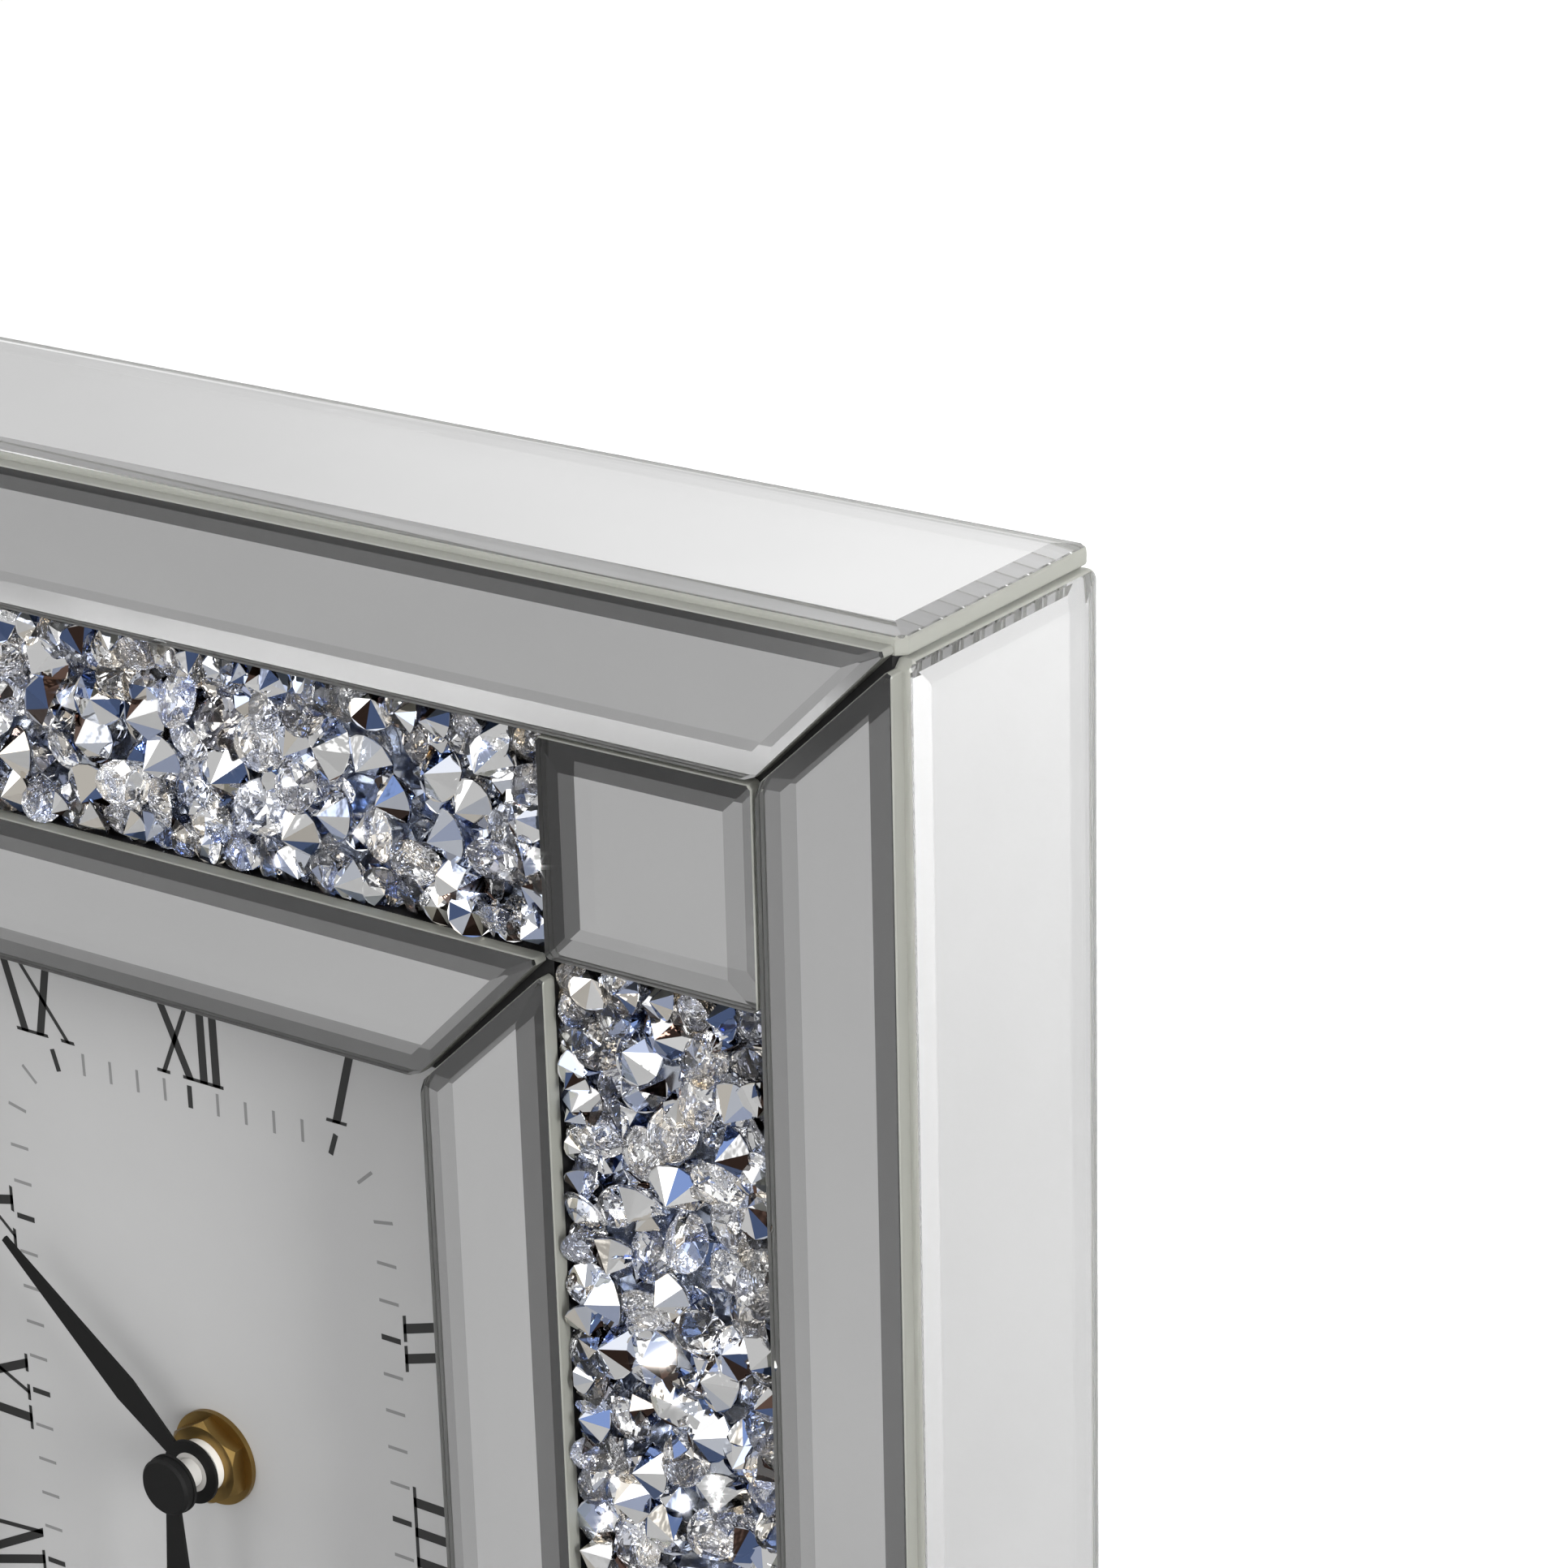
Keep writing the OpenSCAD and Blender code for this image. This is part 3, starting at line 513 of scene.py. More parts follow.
def mirror_sheet(node):
    """A silvered sheet with an arris, from the CAD node of that name."""
    on_case = node.startswith("mirror_")
    back = Vector(CASE_BACKS[node.removeprefix("mirror_")] if on_case else STRIP_BACK)
    shape = merged_copy(node)
    if node.endswith(("strip_top", "strip_bottom")):
        close_mitre(shape)
    width, segments = ROUNDED if on_case else ARRIS
    sharp = [e for e in shape.edges if len(e.link_faces) == 2 and e.calc_face_angle(0) > ARRIS_ANGLE]
    bmesh.ops.bevel(shape, geom=sharp, offset=width, segments=segments, profile=0.5,
                    affect="EDGES", clamp_overlap=True)
    shape.normal_update()
    behind = max(v.co.dot(back) for v in shape.verts)
    for v in shape.verts:
        if v.co.dot(back) > behind - WELD:
            v.co -= back * GLUE
    for face in shape.faces:
        face.material_index = SHEET_MATERIALS.index(sheet_finish(node, face.normal, back))
    return worked_piece("glass_" + node, shape, SHEET_MATERIALS, "case", [node])


sheets = [mirror_sheet(node) for node in NODES
          if node.startswith(("mirror_", "outer_strip", "inner_strip", "corner_mirror"))]
print("mirror sheets", len(sheets))

# %% [markdown]
# The stones are chatons: cut glass with a clear crown and a pointed back under foil. One stone is
# drawn facet by facet for a diameter of one, with its foil faces marked. A later tree strews it over
# the channel, so it has only as many facets as the eye can tell apart.

# %% One cut stone
FOLD = 8
# Radius and height of each ring of corners, for a stone of diameter one
TABLE_R, TABLE_Z = 0.28, 0.17
BEZEL_R, BEZEL_Z = 0.41, 0.10
GIRDLE_R, GIRDLE_Z = 0.5, 0.015
CULET_Z = -0.44


def ring(count, radius, height, start=0.0):
    """Points evenly round the stone's axis."""
    turns = [start + math.tau * k / count for k in range(count)]
    return [(radius * math.cos(turn), radius * math.sin(turn), height) for turn in turns]


def cut_stone():
    """A brilliant of that fold with a plain back of as many sides."""
    table = ring(FOLD, TABLE_R, TABLE_Z, math.tau / FOLD / 2)
    bezel = ring(FOLD, BEZEL_R, BEZEL_Z)
    upper = ring(2 * FOLD, GIRDLE_R, GIRDLE_Z)
    lower = ring(2 * FOLD, GIRDLE_R, -GIRDLE_Z)
    points = table + bezel + upper + lower + [(0, 0, CULET_Z)]
    # Where the corners of each ring start in that list
    t, b, u, w, culet = 0, FOLD, 2 * FOLD, 4 * FOLD, 6 * FOLD
    crown = [[t + k for k in range(FOLD)]]
    foil = []
    for k in range(FOLD):
        corner, before, after = 2 * k, (2 * k - 1) % (2 * FOLD), 2 * k + 1
        next_bezel = b + (k + 1) % FOLD
        crown.append([t + (k - 1) % FOLD, b + k, t + k])
        crown.append([t + k, b + k, u + after, next_bezel])
        crown.append([b + k, u + corner, u + after])
        crown.append([b + k, u + before, u + corner])
        foil.append([culet, w + after, w + before])
        foil.append([w + before, w + after, w + corner])
    for k in range(2 * FOLD):
        after = (k + 1) % (2 * FOLD)
        crown.append([u + k, w + k, w + after, u + after])
    mesh = bpy.data.meshes.new("cut_stone")
    mesh.from_pydata(points, [], crown + foil)
    shape = bmesh.new()
    shape.from_mesh(mesh)
    bmesh.ops.recalc_face_normals(shape, faces=shape.faces)
    shape.to_mesh(mesh)
    shape.free()
    marks = mesh.attributes.new("foil", "BOOLEAN", "FACE")
    marks.data.foreach_set("value", [False] * len(crown) + [True] * len(foil))
    return mesh


stone_mesh = cut_stone()
stone = new_object("cut_stone", stone_mesh)
print("facets on a stone", len(stone_mesh.polygons))

# %% Stone materials
# Machine-cut lead glass: clear and bright, index 1.6. A few facets carry a trace of colour.
CROWN_TONES = [(0.0, "#FFFFFF"), (0.86, "#F4F7FF"), (0.95, "#FFF8EE")]
crown_glass, tree, shader = new_material("cut_crown_glass", Roughness=0.0, IOR=1.6,
                                         Transmission_Weight=1.0)
tone = add_node(tree, "ShaderNodeAttribute", {"attribute_name": "tone"})
tint = add_node(tree, "ShaderNodeValToRGB", links={"Fac": tone.outputs["Fac"]})
steps(tint, CROWN_TONES)
tree.links.new(tint.outputs["Color"], shader.inputs["Base Color"])

# Foil backing. Seen through the crown it is bright silver, with a few warm or dark facets. Where a
# stone lies point up, the lacquer on the foil shows: silver, steel blue, deep blue or dark brown.
INSIDE_TONES = [(0.0, "#FFFFFF"), (0.7, "#EEF1FA"), (0.86, "#F8F2E8"), (0.95, "#9A9AA2")]
OUTSIDE_TONES = [(0.0, "#FFFFFF"), (0.4, "#E9EEF9"), (0.55, "#C2CDE9"), (0.68, "#62759F"),
                 (0.79, "#F2ECE2"), (0.91, "#453630")]
foil_back, tree, shader = new_material("foiled_facet", Metallic=1.0, Roughness=0.03)
tone = add_node(tree, "ShaderNodeAttribute", {"attribute_name": "tone"})
point_up = add_node(tree, "ShaderNodeAttribute", {"attribute_name": "point_up"})
seen_side = {"Factor": point_up.outputs["Fac"]}
for socket, tones in (("A", INSIDE_TONES), ("B", OUTSIDE_TONES)):
    tint = add_node(tree, "ShaderNodeValToRGB", links={"Fac": tone.outputs["Fac"]})
    steps(tint, tones)
    seen_side[socket] = tint.outputs["Color"]
foil_tone = add_node(tree, "ShaderNodeMix", {"data_type": "RGBA"}, links=seen_side)
tree.links.new(in_use(foil_tone.outputs, "Result"), shader.inputs["Base Color"])
# The foil is never quite flat: soft waves of about 2 mm
roughen(tree, shader, grain(tree, 2.38), 0.1, 0.5)
print("tones of a point-up stone", len(OUTSIDE_TONES))

# %% [markdown]
# Geometry Nodes repeat things by rule. A tree is built like a material: nodes and links, with named
# inputs for its sizes. Its result is kept as a plain mesh, because the export drops instances.

# %% Helpers for trees
# A tree lays its things flat and then stands them up in the dial's plane
STANDING = (math.pi / 2, 0, 0)


def new_tree(name, sizes, **others):
    """A node group that gives geometry and takes a number for each size, and other kinds by name."""
    tree = bpy.data.node_groups.new(name, "GeometryNodeTree")
    tree.interface.new_socket("Geometry", in_out="OUTPUT", socket_type="NodeSocketGeometry")
    for key, kind in {**others, **dict.fromkeys(sizes, "Float")}.items():
        tree.interface.new_socket(key, in_out="INPUT", socket_type="NodeSocket" + kind)
    return tree, tree.nodes.new("NodeGroupInput").outputs


def end_tree(tree, geometry, *finishes):
    """Makes the instances real, gives each finish to its selection, and ends the tree."""
    real = add_node(tree, "GeometryNodeRealizeInstances", links={"Geometry": geometry})
    result = real.outputs[0]
    for material, selection in finishes:
        links = {"Geometry": result}
        if selection:
            links["Selection"] = selection
        finished = add_node(tree, "GeometryNodeSetMaterial", inputs={"Material": material}, links=links)
        result = finished.outputs[0]
    out = tree.nodes.new("NodeGroupOutput")
    tree.links.new(result, out.inputs["Geometry"])


def grown(name, group, values, body, replaced=(), base=None):
    """Runs a tree on a new object and keeps the result as a plain mesh."""
    seedling = new_object(name + "_tree", base or bpy.data.meshes.new(name + "_tree"))
    modifier = seedling.modifiers.new("tree", "NODES")
    modifier.node_group = group
    sockets = {s.name: s.identifier for s in group.interface.items_tree if s.in_out == "INPUT"}
    for key, value in values.items():
        modifier[sockets[key]] = value
    seen = seedling.evaluated_get(bpy.context.evaluated_depsgraph_get())
    mesh = bpy.data.meshes.new_from_object(seen)
    mesh.name = name
    bpy.data.objects.remove(seedling)
    return new_piece(name, mesh, body, replaced)


print("trees are stood up by", round(math.degrees(STANDING[0])), "degrees")

# %% [markdown]
# The tree that strews the stones is a small factory. It lays points over the pocket with a set
# distance between them, and rows of points along its walls. Each point gets a stone, tilted and sized
# at random from a fixed seed, and some lie point up. Six such layers fill the pocket, as glue and a
# generous hand do on the real clock.

# %% A layer of stones
POINT_UP_SHARE = 0.4


def stone_layer(tree, source, points, sizes, tilt, heights, seed):
    """A stone on each point, drawn at random within limits: sizes and heights in mm, tilt in radians."""
    limits = [
        ("BOOLEAN", {"Probability": POINT_UP_SHARE}),
        ("FLOAT_VECTOR", {"Min": (-tilt, -tilt, 0.0), "Max": (tilt, tilt, math.tau)}),
        ("FLOAT", {"Min": sizes[0] * MM, "Max": sizes[1] * MM}),
        ("FLOAT", {"Min": heights[0] * MM, "Max": heights[1] * MM}),
    ]
    draws = []
    for number, (kind, between) in enumerate(limits, start=1):
        draw = add_node(tree, "FunctionNodeRandomValue", {"data_type": kind},
                        {"Seed": seed + number, **between})
        draws.append(in_use(draw.outputs, "Value"))
    is_flipped, lean, size, lift = draws
    half_turn = add_node(tree, "ShaderNodeMath", {"operation": "MULTIPLY"}, {1: math.pi},
                         {0: is_flipped})
    face_down = add_node(tree, "ShaderNodeCombineXYZ", links={"X": half_turn.outputs[0]})
    turned = add_node(tree, "ShaderNodeVectorMath", {"operation": "ADD"},
                      links={0: lean, 1: face_down.outputs[0]})
    raised = add_node(tree, "ShaderNodeCombineXYZ", links={"Z": lift})
    marked = add_node(tree, "GeometryNodeStoreNamedAttribute", {"data_type": "FLOAT", "domain": "POINT"},
                      {"Name": "point_up"}, {"Geometry": points, "Value": is_flipped})
    placed = add_node(tree, "GeometryNodeSetPosition",
                      links={"Geometry": marked.outputs[0], "Offset": raised.outputs[0]})
    layer = add_node(tree, "GeometryNodeInstanceOnPoints", links={
        "Points": placed.outputs[0], "Instance": source, "Rotation": turned.outputs[0], "Scale": size})
    return layer.outputs["Instances"]


print("share of stones point up", POINT_UP_SHARE)

# %% Points for a layer
# Stones for each square metre before the spacing thins them out
DENSITY = 400000.0


def pocket(tree, given, inset):
    """The width and the height of the pocket, less that inset in mm on every side."""
    sides = []
    for side in ("Width", "Height"):
        shorter = add_node(tree, "ShaderNodeMath", inputs={1: -2 * inset * MM}, links={0: given[side]})
        sides.append(shorter.outputs[0])
    return sides


def strewn(tree, given, inset, seed):
    """Points over the pocket that keep the spacing from each other."""
    width, height = pocket(tree, given, inset)
    face = add_node(tree, "GeometryNodeMeshGrid", inputs={"Vertices X": 2, "Vertices Y": 2},
                    links={"Size X": width, "Size Y": height})
    points = add_node(tree, "GeometryNodeDistributePointsOnFaces", {"distribute_method": "POISSON"},
                      {"Density Max": DENSITY, "Seed": seed},
                      {"Mesh": face.outputs["Mesh"], "Distance Min": given["Spacing"]})
    return points.outputs["Points"]


def row(tree, given, inset, gap):
    """Points along the pocket's walls, that gap in mm apart."""
    width, height = pocket(tree, given, inset)
    line = add_node(tree, "GeometryNodeCurvePrimitiveQuadrilateral",
                    links={"Width": width, "Height": height})
    points = add_node(tree, "GeometryNodeCurveToPoints", {"mode": "LENGTH"}, {"Length": gap * MM},
                      {"Curve": line.outputs[0]})
    return points.outputs["Points"]


print("strewn before thinning:", DENSITY, "stones to the square metre")

# %% The tree that strews stones
# Each strewn layer: its inset from the walls, sizes, tilt, heights and seed
STREWN_LAYERS = [
    (1.8, (5.8, 6.8), 1.1, (0.6, 1.4), 29),
    (2.4, (5.0, 6.2), 1.5, (1.4, 2.6), 47),
    (5.2, (7.0, 8.0), 0.5, (3.0, 3.8), 11),
]
# Each row along the walls: its inset, the gap between its stones, then the same
WALL_ROWS = [
    (2.7, 5.0, (6.0, 7.2), 0.7, (2.8, 4.2), 71),
    (2.1, 4.4, (4.6, 5.4), 0.9, (1.4, 3.0), 83),
    (2.4, 4.7, (4.4, 5.2), 0.9, (3.2, 4.2), 97),
]


def stone_scatter():
    """The node group: a rectangle of stones that lies in the dial's plane."""
    tree, given = new_tree("strewn_stones", ("Width", "Height", "Spacing"), Centre="Vector", Seed="Int")
    source = add_node(tree, "GeometryNodeObjectInfo", inputs={"Object": stone, "As Instance": True})
    shape = source.outputs["Geometry"]
    layers = []
    for inset, *look, seed in STREWN_LAYERS:
        layers.append(stone_layer(tree, shape, strewn(tree, given, inset, seed), *look, seed))
    for inset, gap, *look, seed in WALL_ROWS:
        layers.append(stone_layer(tree, shape, row(tree, given, inset, gap), *look, seed))
    joined = tree.nodes.new("GeometryNodeJoinGeometry")
    for layer in layers:
        tree.links.new(layer, joined.inputs["Geometry"])
    stand = add_node(tree, "GeometryNodeTransform", inputs={"Rotation": STANDING},
                     links={"Geometry": joined.outputs[0], "Translation": given["Centre"]})
    real = add_node(tree, "GeometryNodeRealizeInstances", links={"Geometry": stand.outputs[0]})
    facet_tone = add_node(tree, "FunctionNodeRandomValue", {"data_type": "FLOAT"},
                          links={"Seed": given["Seed"]})
    toned = add_node(tree, "GeometryNodeStoreNamedAttribute", {"data_type": "FLOAT", "domain": "FACE"},
                     {"Name": "tone"},
                     {"Geometry": real.outputs[0], "Value": in_use(facet_tone.outputs, "Value")})
    is_foil = add_node(tree, "GeometryNodeInputNamedAttribute", {"data_type": "BOOLEAN"},
                       {"Name": "foil"})
    end_tree(tree, toned.outputs[0], (crown_glass, None), (foil_back, is_foil.outputs["Attribute"]))
    return tree


scatter = stone_scatter()
print("nodes in the tree", len(scatter.nodes))

# %% Four fields of stones
# Least distance in mm between two stones of a strewn layer
STONE_SPACING = 5.6

for seed, side in enumerate(("top", "bottom", "left", "right"), start=1):
    low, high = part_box("crystal_film_" + side)
    centre = (low + high) / 2
    centre.y = low.y
    size = high - low
    sizes = {"Width": size.x, "Height": size.z, "Spacing": STONE_SPACING * MM}
    values = {**sizes, "Centre": tuple(centre), "Seed": seed}
    field = grown("stones_" + side, scatter, values, "case", ["crystals_" + side])
    print(field.name, len(field.data.polygons), "facets")
bpy.data.objects.remove(stone)

# %% Mirror film under the stones
# Silvered film: it shows blue-grey between the stones and waves a little where it is glued.
film, tree, shader = new_material("silvered_film", Base_Color=linear("#DDE3EE"), Metallic=1.0,
                                  Roughness=0.15)
roughen(tree, shader, grain(tree, 8.33, 1.0), 0.6, 0.6)
print("film is", film.name)

# %% [markdown]
# The dial is paper-smooth satin print. Its numerals lean outwards from the middle, as on a dial that
# was drawn round and then stretched upright, and the print keeps the habits of its maker: eleven and
# eight are written mirror-wise.

# %% Ink


def printing_ink(name, colour):
    """Satin ink that takes the tooth of the paper, which is drawn coarser than it is, to show."""
    material, tree, shader = new_material(name, Base_Color=linear(colour), Roughness=0.55)
    roughen(tree, shader, grain(tree, 0.333), 0.01, 0.3)
    return material


ink = printing_ink("black_dial_ink", "#242424")
grey_ink = printing_ink("grey_dial_ink", "#868686")
print("inks", ink.name, grey_ink.name)

# %% Strokes of a numeral
# Thickness of the print, and the numerals' height
PRINT_T, NUMERAL_H = 0.03, 11.2
# How far a numeral's foot stands from the hands' axis, then the widths of its bold and its fine strokes
# and the thickness of its serifs, for the level sides of the dial and for the upright ones
LEVEL_SIDE = (58.7, 1.4, 0.8, 0.5)
UPRIGHT_SIDE = (36.4, 1.5, 0.7, 0.55)
# How far an upper serif reaches to each side on a cross and on a vee. On a stem it reaches twice the
# stem's width less the last of these.
CROSS_SERIF, VEE_SERIF, STEM_SERIF_LESS = 1.2, 1.3, 0.4


def stroke(foot, head, width):
    """A leaning bar from the foot line to the numeral's top, as four points."""
    half = width / 2
    return [(foot - half, 0), (foot + half, 0), (head + half, NUMERAL_H), (head - half, NUMERAL_H)]


def serif(start, end, height, thickness):
    """A flat serif on the foot line or under the top."""
    low = 0 if height == 0 else height - thickness
    return [(start, low), (end, low), (end, low + thickness), (start, low + thickness)]


def numeral_strokes(stems, crosses, vees, bars, thick, thin, serif_t):
    """Stems, crosses and vees by the places of their feet; bars are the serifs' ends at the foot."""
    shapes = [stroke(at, at, thick) for at in stems]
    for bold, fine in crosses:
        shapes += [stroke(bold, fine, thick), stroke(fine, bold, thin)]
    for at, reach in vees:
        shapes += [stroke(at, at - reach, thick), stroke(at, at + reach, thin)]
    stem_serif = 2 * thick - STEM_SERIF_LESS
    tops = [(at - stem_serif, at + stem_serif) for at in stems]
    tops += [(at - CROSS_SERIF, at + CROSS_SERIF) for pair in crosses for at in pair]
    for at, reach in vees:
        tops += [(arm - VEE_SERIF, arm + VEE_SERIF) for arm in (at - reach, at + reach)]
    shapes += [serif(a, b, 0, serif_t) for a, b in bars]
    shapes += [serif(a, b, NUMERAL_H, serif_t) for a, b in tops]
    return shapes


print("numeral height", NUMERAL_H, "mm")

# %% Numerals
# Which way a numeral reads on each side of the dial. It stands a quarter turn to the left of that.
READS = {"top": (1, 0), "right": (0, -1), "bottom": (-1, 0), "left": (0, 1)}
# Each numeral: its side, the place of its tick along that side, its lean, then stems, crosses, vees
# and foot serifs, measured in millimetres along the side.
NUMERALS = {
    12: ("top", 0.0, 0.0, [2.85, 5.15], [(0.4, -4.6)], [], [(-5.8, -3.4), (-1.0, 6.4)]),
    1: ("top", 26.6, 0.29, [0.0], [], [], [(-1.8, 1.8)]),
    2: ("right", -28.1, -0.31, [-2.3, 2.3], [], [], [(-4.3, -0.3), (0.3, 4.3)]),
    3: ("right", 1.0, 0.0, [-4.7, 0.0, 4.7], [], [], [(-7.1, 7.1)]),
    4: ("right", 28.1, 0.31, [-5.4, -1.8, 1.8, 5.4], [], [], [(-7.2, 7.2)]),
    5: ("bottom", -26.6, -0.29, [], [], [(0.0, 2.5)], []),
    6: ("bottom", 0.0, 0.0, [3.0], [], [(-1.6, 2.5)], [(1.6, 4.4)]),
    7: ("bottom", 26.6, 0.29, [1.6, 3.9], [], [(-3.0, 2.5)], [(0.2, 5.3)]),
    8: ("left", -30.0, -0.31, [-5.4, -1.8, 1.8], [], [(6.3, 2.5)], [(-6.9, 3.3)]),
    9: ("left", 0.0, 0.0, [-4.6], [(4.5, -0.5)], [], [(-6.5, -2.6), (-1.7, 0.9), (3.0, 5.9)]),
    10: ("left", 28.0, 0.31, [], [(2.9, -3.2)], [], [(-4.7, -1.9), (0.9, 4.9)]),
    11: ("top", -27.0, -0.3, [-3.8], [(-1.0, 4.5)], [], [(-5.4, 0.6), (3.1, 5.6)]),
}


def add_prism(shape, outline):
    """Adds a thin closed prism of ink that stands on the dial's face. outline is x, y in mm."""
    near = [shape.verts.new(on_dial(x, y, DIAL_DEPTH - PRINT_T)) for x, y in outline]
    far = [shape.verts.new(on_dial(x, y, DIAL_DEPTH)) for x, y in outline]
    shape.faces.new(near)
    shape.faces.new(far[::-1])
    for i in range(len(near)):
        j = (i + 1) % len(near)
        shape.faces.new((near[i], far[i], far[j], near[j]))


def numeral(hour, side, place, lean, *strokes):
    """One hour's numeral as a piece of print."""
    x, y = READS[side]
    foot, *widths = LEVEL_SIDE if side in ("top", "bottom") else UPRIGHT_SIDE
    shape = bmesh.new()
    for outline in numeral_strokes(*strokes, *widths):
        points = []
        for u, w in outline:
            reading, height = place + u + lean * w, foot + w
            points.append((x * reading - y * height, y * reading + x * height))
        add_prism(shape, points)
    bmesh.ops.recalc_face_normals(shape, faces=shape.faces)
    return worked_piece("numeral_%d" % hour, shape, [ink], "case")


for hour, (side, place, lean, *strokes) in NUMERALS.items():
    numeral(hour, side, place, lean, *strokes)
print("numerals", len(NUMERALS))

# %% [markdown]
# The minute track follows a rectangle with round corners. Its sixty ticks are marked as points with
# their distance along that path, and Geometry Nodes set a bar square to the path at each of them.
# The bars for the hours are wide and black, the others narrow and grey.

# %% Points of the minute track
# Half the width, half the height and the corner radius of the path
TRACK_X, TRACK_Y, TRACK_R = 34.1, 56.1, 12.4
# Distance along the path from twelve for the first fifteen minutes and the quarter itself
QUARTER = [0.0, 5.1, 10.2, 15.3, 20.4, 25.9, 32.4, 39.1, 45.4, 51.1, 56.7, 62.4, 68.0, 73.7, 79.3, 84.98]
TICKS, QUARTER_TICKS, HOUR_EVERY = 60, 15, 5


def track_points():
    """Sixty points that carry their distance along the path, in metres, and whether they are hours."""
    quarter = QUARTER[QUARTER_TICKS]
    distances = []
    for k in range(TICKS):
        turn, step = divmod(k, QUARTER_TICKS)
        # Every second quarter runs the other way round its corner
        within = QUARTER[step] if turn % 2 == 0 else quarter - QUARTER[QUARTER_TICKS - step]
        distances.append((turn * quarter + within) * MM)
    mesh = bpy.data.meshes.new("track_points")
    mesh.from_pydata([(0, 0, 0)] * TICKS, [], [])
    mesh.attributes.new("distance", "FLOAT", "POINT").data.foreach_set("value", distances)
    are_hours = [k % HOUR_EVERY == 0 for k in range(TICKS)]
    mesh.attributes.new("hour", "BOOLEAN", "POINT").data.foreach_set("value", are_hours)
    return mesh


print("quarter of the path", QUARTER[QUARTER_TICKS], "mm")

# %% Path of the minute track
CORNER_STEPS = 24


def track_path():
    """The path as a curve halfway up the print, which starts at twelve and runs clockwise."""
    points = []
    for right, up in ((1, 1), (1, -1), (-1, -1), (-1, 1)):
        centre = (right * (TRACK_X - TRACK_R), up * (TRACK_Y - TRACK_R))
        first = math.atan2(up, 0) if right * up > 0 else math.atan2(0, right)
        for k in range(CORNER_STEPS + 1):
            a = first - math.pi / 2 * k / CORNER_STEPS
            points.append((centre[0] + TRACK_R * math.cos(a), centre[1] + TRACK_R * math.sin(a)))
    points = [(0, TRACK_Y)] + points + [(0, TRACK_Y)]
    curve = bpy.data.curves.new("track_path", "CURVE")
    curve.dimensions = "3D"
    spline = curve.splines.new("POLY")
    spline.points.add(len(points) - 1)
    for point, (x, y) in zip(spline.points, points):
        point.co = (*on_dial(x, y, DIAL_DEPTH - PRINT_T / 2), 1)
    return new_object("track_path", curve)


path = track_path()
print("points on the path", len(path.data.splines[0].points))

# %% The tree that sets the ticks
TICK_LEN = 3.4
TICK_W, HOUR_W = 0.5, 0.85


def tick_tree(path):
    """The node group: a bar at each point's distance along the path, square to it."""
    tree, given = new_tree("minute_ticks", ("Length", "Minute Width", "Hour Width", "Thickness"),
                           Geometry="Geometry")
    way = add_node(tree, "GeometryNodeObjectInfo", inputs={"Object": path})
    distance = add_node(tree, "GeometryNodeInputNamedAttribute", {"data_type": "FLOAT"},
                        {"Name": "distance"})
    hour = add_node(tree, "GeometryNodeInputNamedAttribute", {"data_type": "BOOLEAN"}, {"Name": "hour"})
    spot = add_node(tree, "GeometryNodeSampleCurve", {"mode": "LENGTH", "use_all_curves": True},
                    links={"Curves": way.outputs["Geometry"], "Length": distance.outputs["Attribute"]})
    placed = add_node(tree, "GeometryNodeSetPosition",
                      links={"Geometry": given["Geometry"], "Position": spot.outputs["Position"]})
    along = add_node(tree, "FunctionNodeAlignRotationToVector", {"axis": "X"},
                     links={"Vector": spot.outputs["Tangent"]})
    upright = add_node(tree, "FunctionNodeAlignRotationToVector", {"axis": "Y", "pivot_axis": "X"},
                       {"Vector": (0, 1, 0)}, {"Rotation": along.outputs[0]})
    width = add_node(tree, "GeometryNodeSwitch", {"input_type": "FLOAT"}, links={
        "Switch": hour.outputs["Attribute"],
        "False": given["Minute Width"],
        "True": given["Hour Width"]})
    size = add_node(tree, "ShaderNodeCombineXYZ", links={
        "X": width.outputs[0], "Y": given["Thickness"], "Z": given["Length"]})
    bar = add_node(tree, "GeometryNodeMeshCube", inputs={"Size": (1, 1, 1)})
    bars = add_node(tree, "GeometryNodeInstanceOnPoints", links={
        "Points": placed.outputs[0], "Instance": bar.outputs["Mesh"],
        "Rotation": upright.outputs[0], "Scale": size.outputs[0]})
    end_tree(tree, bars.outputs[0], (grey_ink, None), (ink, hour.outputs["Attribute"]))
    return tree


values = {"Length": TICK_LEN, "Minute Width": TICK_W, "Hour Width": HOUR_W, "Thickness": PRINT_T}
ticks = grown("minute_track", tick_tree(path), {key: value * MM for key, value in values.items()},
              "case", base=track_points())
bpy.data.objects.remove(path)
print("faces of the ticks", len(ticks.data.polygons))

# %% [markdown]
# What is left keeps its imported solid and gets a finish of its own. Painted, printed, moulded and
# turned surfaces differ in colour, gloss and grain, but all of them have a fine relief and wander a
# little in tone, so one function makes them all from a few values. Most of the real grains, near a
# tenth of a millimetre, are finer than a pixel. They are drawn four to ten times as coarse, to show.

# %% Satin finishes
# How many times wider than the grain its clouds are, then the detail of each and the relief's strength
CLOUD = 12
GRAIN_DETAIL, CLOUD_DETAIL, RELIEF_STRENGTH = 4.0, 5.0, 0.6


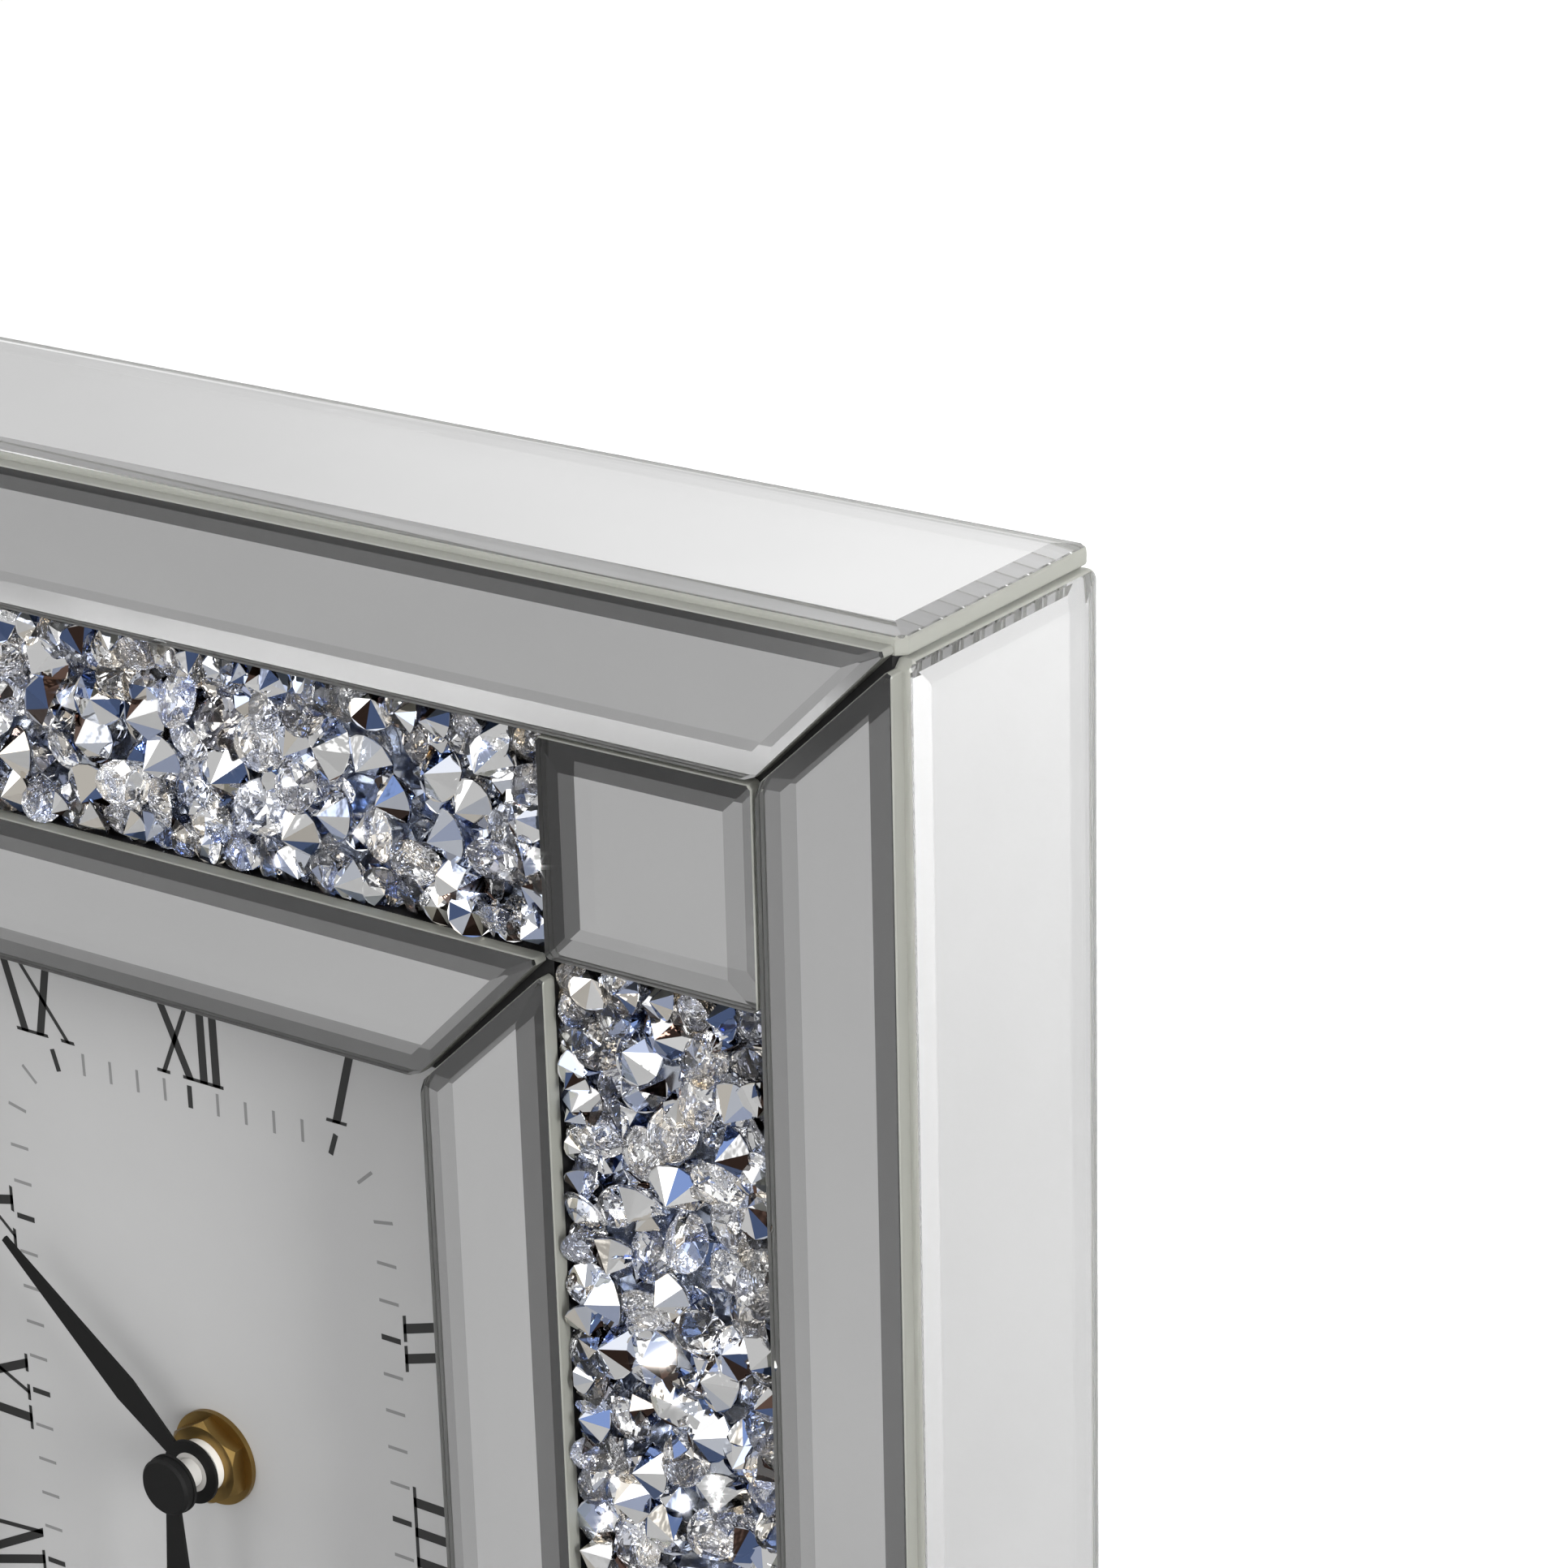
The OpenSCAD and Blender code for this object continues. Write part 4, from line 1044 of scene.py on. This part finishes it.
def satin(name, colour, roughness, grain_size, depth, mottle, **more):
    """A surface with fine grain of that size and depth in mm.

    mottle is how far its colour and its gloss wander from place to place.
    """
    material, tree, shader = new_material(name, **more)
    roughen(tree, shader, grain(tree, grain_size, GRAIN_DETAIL), depth, RELIEF_STRENGTH)
    cloud = grain(tree, CLOUD * grain_size, CLOUD_DETAIL)
    paint = add_node(tree, "ShaderNodeValToRGB", links={"Fac": cloud})
    low, high = 1 - mottle, 1 + mottle
    darker, lighter = [tuple(k * c for c in linear(colour)[:3]) + (1.0,) for k in (low, high)]
    stops(paint, [(NOISE_LOW, darker), (NOISE_HIGH, lighter)])
    tree.links.new(paint.outputs["Color"], shader.inputs["Base Color"])
    gloss = add_node(tree, "ShaderNodeMapRange", links={"Value": cloud},
                     inputs={"To Min": roughness * low, "To Max": roughness * high})
    tree.links.new(gloss.outputs["Result"], shader.inputs["Roughness"])
    return material


def dress(material, *nodes):
    """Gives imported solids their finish."""
    for node in nodes:
        mesh = NODES[node].data
        mesh.materials.clear()
        mesh.materials.append(material)


print("clouds are", CLOUD, "grains wide")

# %% Board, print and paint
# Smooth dial paper under a thin varnish: soft gloss and hardly any tooth
dress(satin("satin_white_print", "#B9B9B9", 0.42, 0.714, 0.01, 0.01), "dial_sheet")
# Fibreboard with one coat of black: its fibres stay visible as cloudy patches in the gloss
dress(satin("black_painted_fibreboard", "#151516", 0.5, 2.86, 0.2, 0.45),
      "front_board", "back_board", "rail_left", "rail_right", "rail_top", "rail_bottom")
# Pressed hardboard, bare: matt, brown and cloudy
dress(satin("brown_hardboard", "#6A543F", 0.7, 2.22, 0.2, 0.3), "dial_board")
# Stove-dried black on thin sheet: nearly matt, with a faint sheen along the edges
dress(satin("matt_black_hand_paint", "#070707", 0.6, 0.4, 0.01, 0.05, Specular_IOR_Level=0.25),
      "hour_hand", "minute_hand", "hand_cap")
# Silvered film as above
dress(film, *("crystal_film_" + side for side in ("top", "bottom", "left", "right")))
print("materials so far", len(bpy.data.materials))

# %% Rubber and plastics
# Moulded rubber: dull and dusty
dress(satin("black_rubber", "#191919", 0.8, 0.833, 0.05, 0.15), "foot_pads", "gasket")
# Moulded acetal with a soft gloss. Its greasy white is greyed as painted shade, for the tube that lies
# in shade
dress(satin("white_acetal", "#B6B4B0", 0.35, 0.556, 0.01, 0.03),
      "minute_arbor", "motion_wheel", "hour_wheel")
# ABS from a spark-eroded mould: an even fine grain, on the white housing and on the black cover
dress(satin("white_moulded_abs", "#DDDBD6", 0.4, 0.625, 0.03, 0.03), "movement_housing")
dress(satin("black_moulded_abs", "#1C1C1D", 0.42, 0.625, 0.04, 0.12), "movement_cover", "setting_knob")
# Solder mask over copper foil: a smooth green with a soft gloss
dress(satin("solder_mask", "#1E5A34", 0.4, 1.11, 0.02, 0.1), "circuit_board")
print("materials so far", len(bpy.data.materials))

# %% Metals
# Brass turned and left to darken: a broad dull gleam
dress(satin("turned_brass", "#8C7344", 0.38, 0.667, 0.02, 0.1, Metallic=1.0), "washer", "hex_nut")
# Zinc plate: grey metal, patchy, with a soft gleam
dress(satin("zinc_plate", "#A6A7AA", 0.34, 0.667, 0.02, 0.15, Metallic=1.0), "back_screws")
# Nickel plate: warmer, more even and a little brighter than zinc
dress(satin("nickel_plate", "#C6C4BE", 0.3, 0.667, 0.02, 0.05, Metallic=1.0),
      "battery_contacts", "stator", "quartz_can")
# Lacquered copper wire: red brown with a clear gloss
dress(satin("enamelled_copper_wire", "#9A4A22", 0.35, 0.667, 0.03, 0.12, Metallic=1.0), "coil")
print("materials so far", len(bpy.data.materials))

# %% Battery sleeve
# Shrunk printed film: glossy dark blue, a copper band, and the bare steel of the end. Places run
# from 0 at the battery's low X to 1 at its high X.
SLEEVE_BANDS = [(0.0, "#1D3F78"), (0.74, "#B0713A"), (0.97, "#C9C9C6")]
low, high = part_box("battery")
sleeve, tree, shader = new_material("printed_battery_sleeve", Roughness=0.3)
coordinates = add_node(tree, "ShaderNodeTexCoord")
place = add_node(tree, "ShaderNodeSeparateXYZ", links={"Vector": coordinates.outputs["Object"]})
along = add_node(tree, "ShaderNodeMapRange", links={"Value": place.outputs["X"]},
                 inputs={"From Min": low.x, "From Max": high.x})
bands = add_node(tree, "ShaderNodeValToRGB", links={"Fac": along.outputs["Result"]})
steps(bands, SLEEVE_BANDS)
tree.links.new(bands.outputs["Color"], shader.inputs["Base Color"])
roughen(tree, shader, grain(tree, 1.11), 0.01, 0.4)
dress(sleeve, "battery")
print("sleeve", round((high.x - low.x) / MM, 1), "mm long")

# %% [markdown]
# Six countersunk screws hold the back board. What the eye sees of their drive is the shade in a cross
# recess. So a tree lays a grid of two by three points over the heads and puts two thin dark bars of
# painted shade on each point.

# %% Crosses of the screws
# Radius of a head, and the cross: from end to end, across a bar, and its thickness
HEAD_R = 2.8
CROSS_REACH, CROSS_WIDTH, CROSS_T = 3.0, 0.7, 0.04
# The second bar is a little thinner, so that the two faces don't lie in one plane
SECOND_BAR = 0.9

# Painted shade of a pressed cross recess: near black, with a faint gloss.
recess_shade = satin("painted_recess_shade", "#1B1B1C", 0.45, 0.667, 0.02, 0.2)


def cross_tree():
    """The node group: a thin upright cross on each point of a grid of two by three."""
    tree, given = new_tree("crosses", ("Across", "Up", "Reach", "Width"), Centre="Vector")
    spots = add_node(tree, "GeometryNodeMeshGrid", inputs={"Vertices X": 2, "Vertices Y": 3},
                     links={"Size X": given["Across"], "Size Y": given["Up"]})
    cross = tree.nodes.new("GeometryNodeJoinGeometry")
    for length_axis, width_axis, thickness in (("X", "Y", CROSS_T), ("Y", "X", SECOND_BAR * CROSS_T)):
        size = add_node(tree, "ShaderNodeCombineXYZ", inputs={"Z": thickness * MM}, links={
            length_axis: given["Reach"], width_axis: given["Width"]})
        bar = add_node(tree, "GeometryNodeMeshCube", links={"Size": size.outputs["Vector"]})
        tree.links.new(bar.outputs["Mesh"], cross.inputs["Geometry"])
    placed = add_node(tree, "GeometryNodeInstanceOnPoints",
                      links={"Points": spots.outputs["Mesh"], "Instance": cross.outputs[0]})
    stand = add_node(tree, "GeometryNodeTransform", inputs={"Rotation": STANDING},
                     links={"Geometry": placed.outputs[0], "Translation": given["Centre"]})
    end_tree(tree, stand.outputs[0], (recess_shade, None))
    return tree


low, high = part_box("back_screws")
centre = (low + high) / 2
centre.y = high.y
values = {
    "Across": high.x - low.x - 2 * HEAD_R * MM,
    "Up": high.z - low.z - 2 * HEAD_R * MM,
    "Reach": CROSS_REACH * MM,
    "Width": CROSS_WIDTH * MM,
    "Centre": tuple(centre),
}
crosses = grown("screw_crosses", cross_tree(), values, "case")
print("screw crosses", len(crosses.data.polygons), "faces")
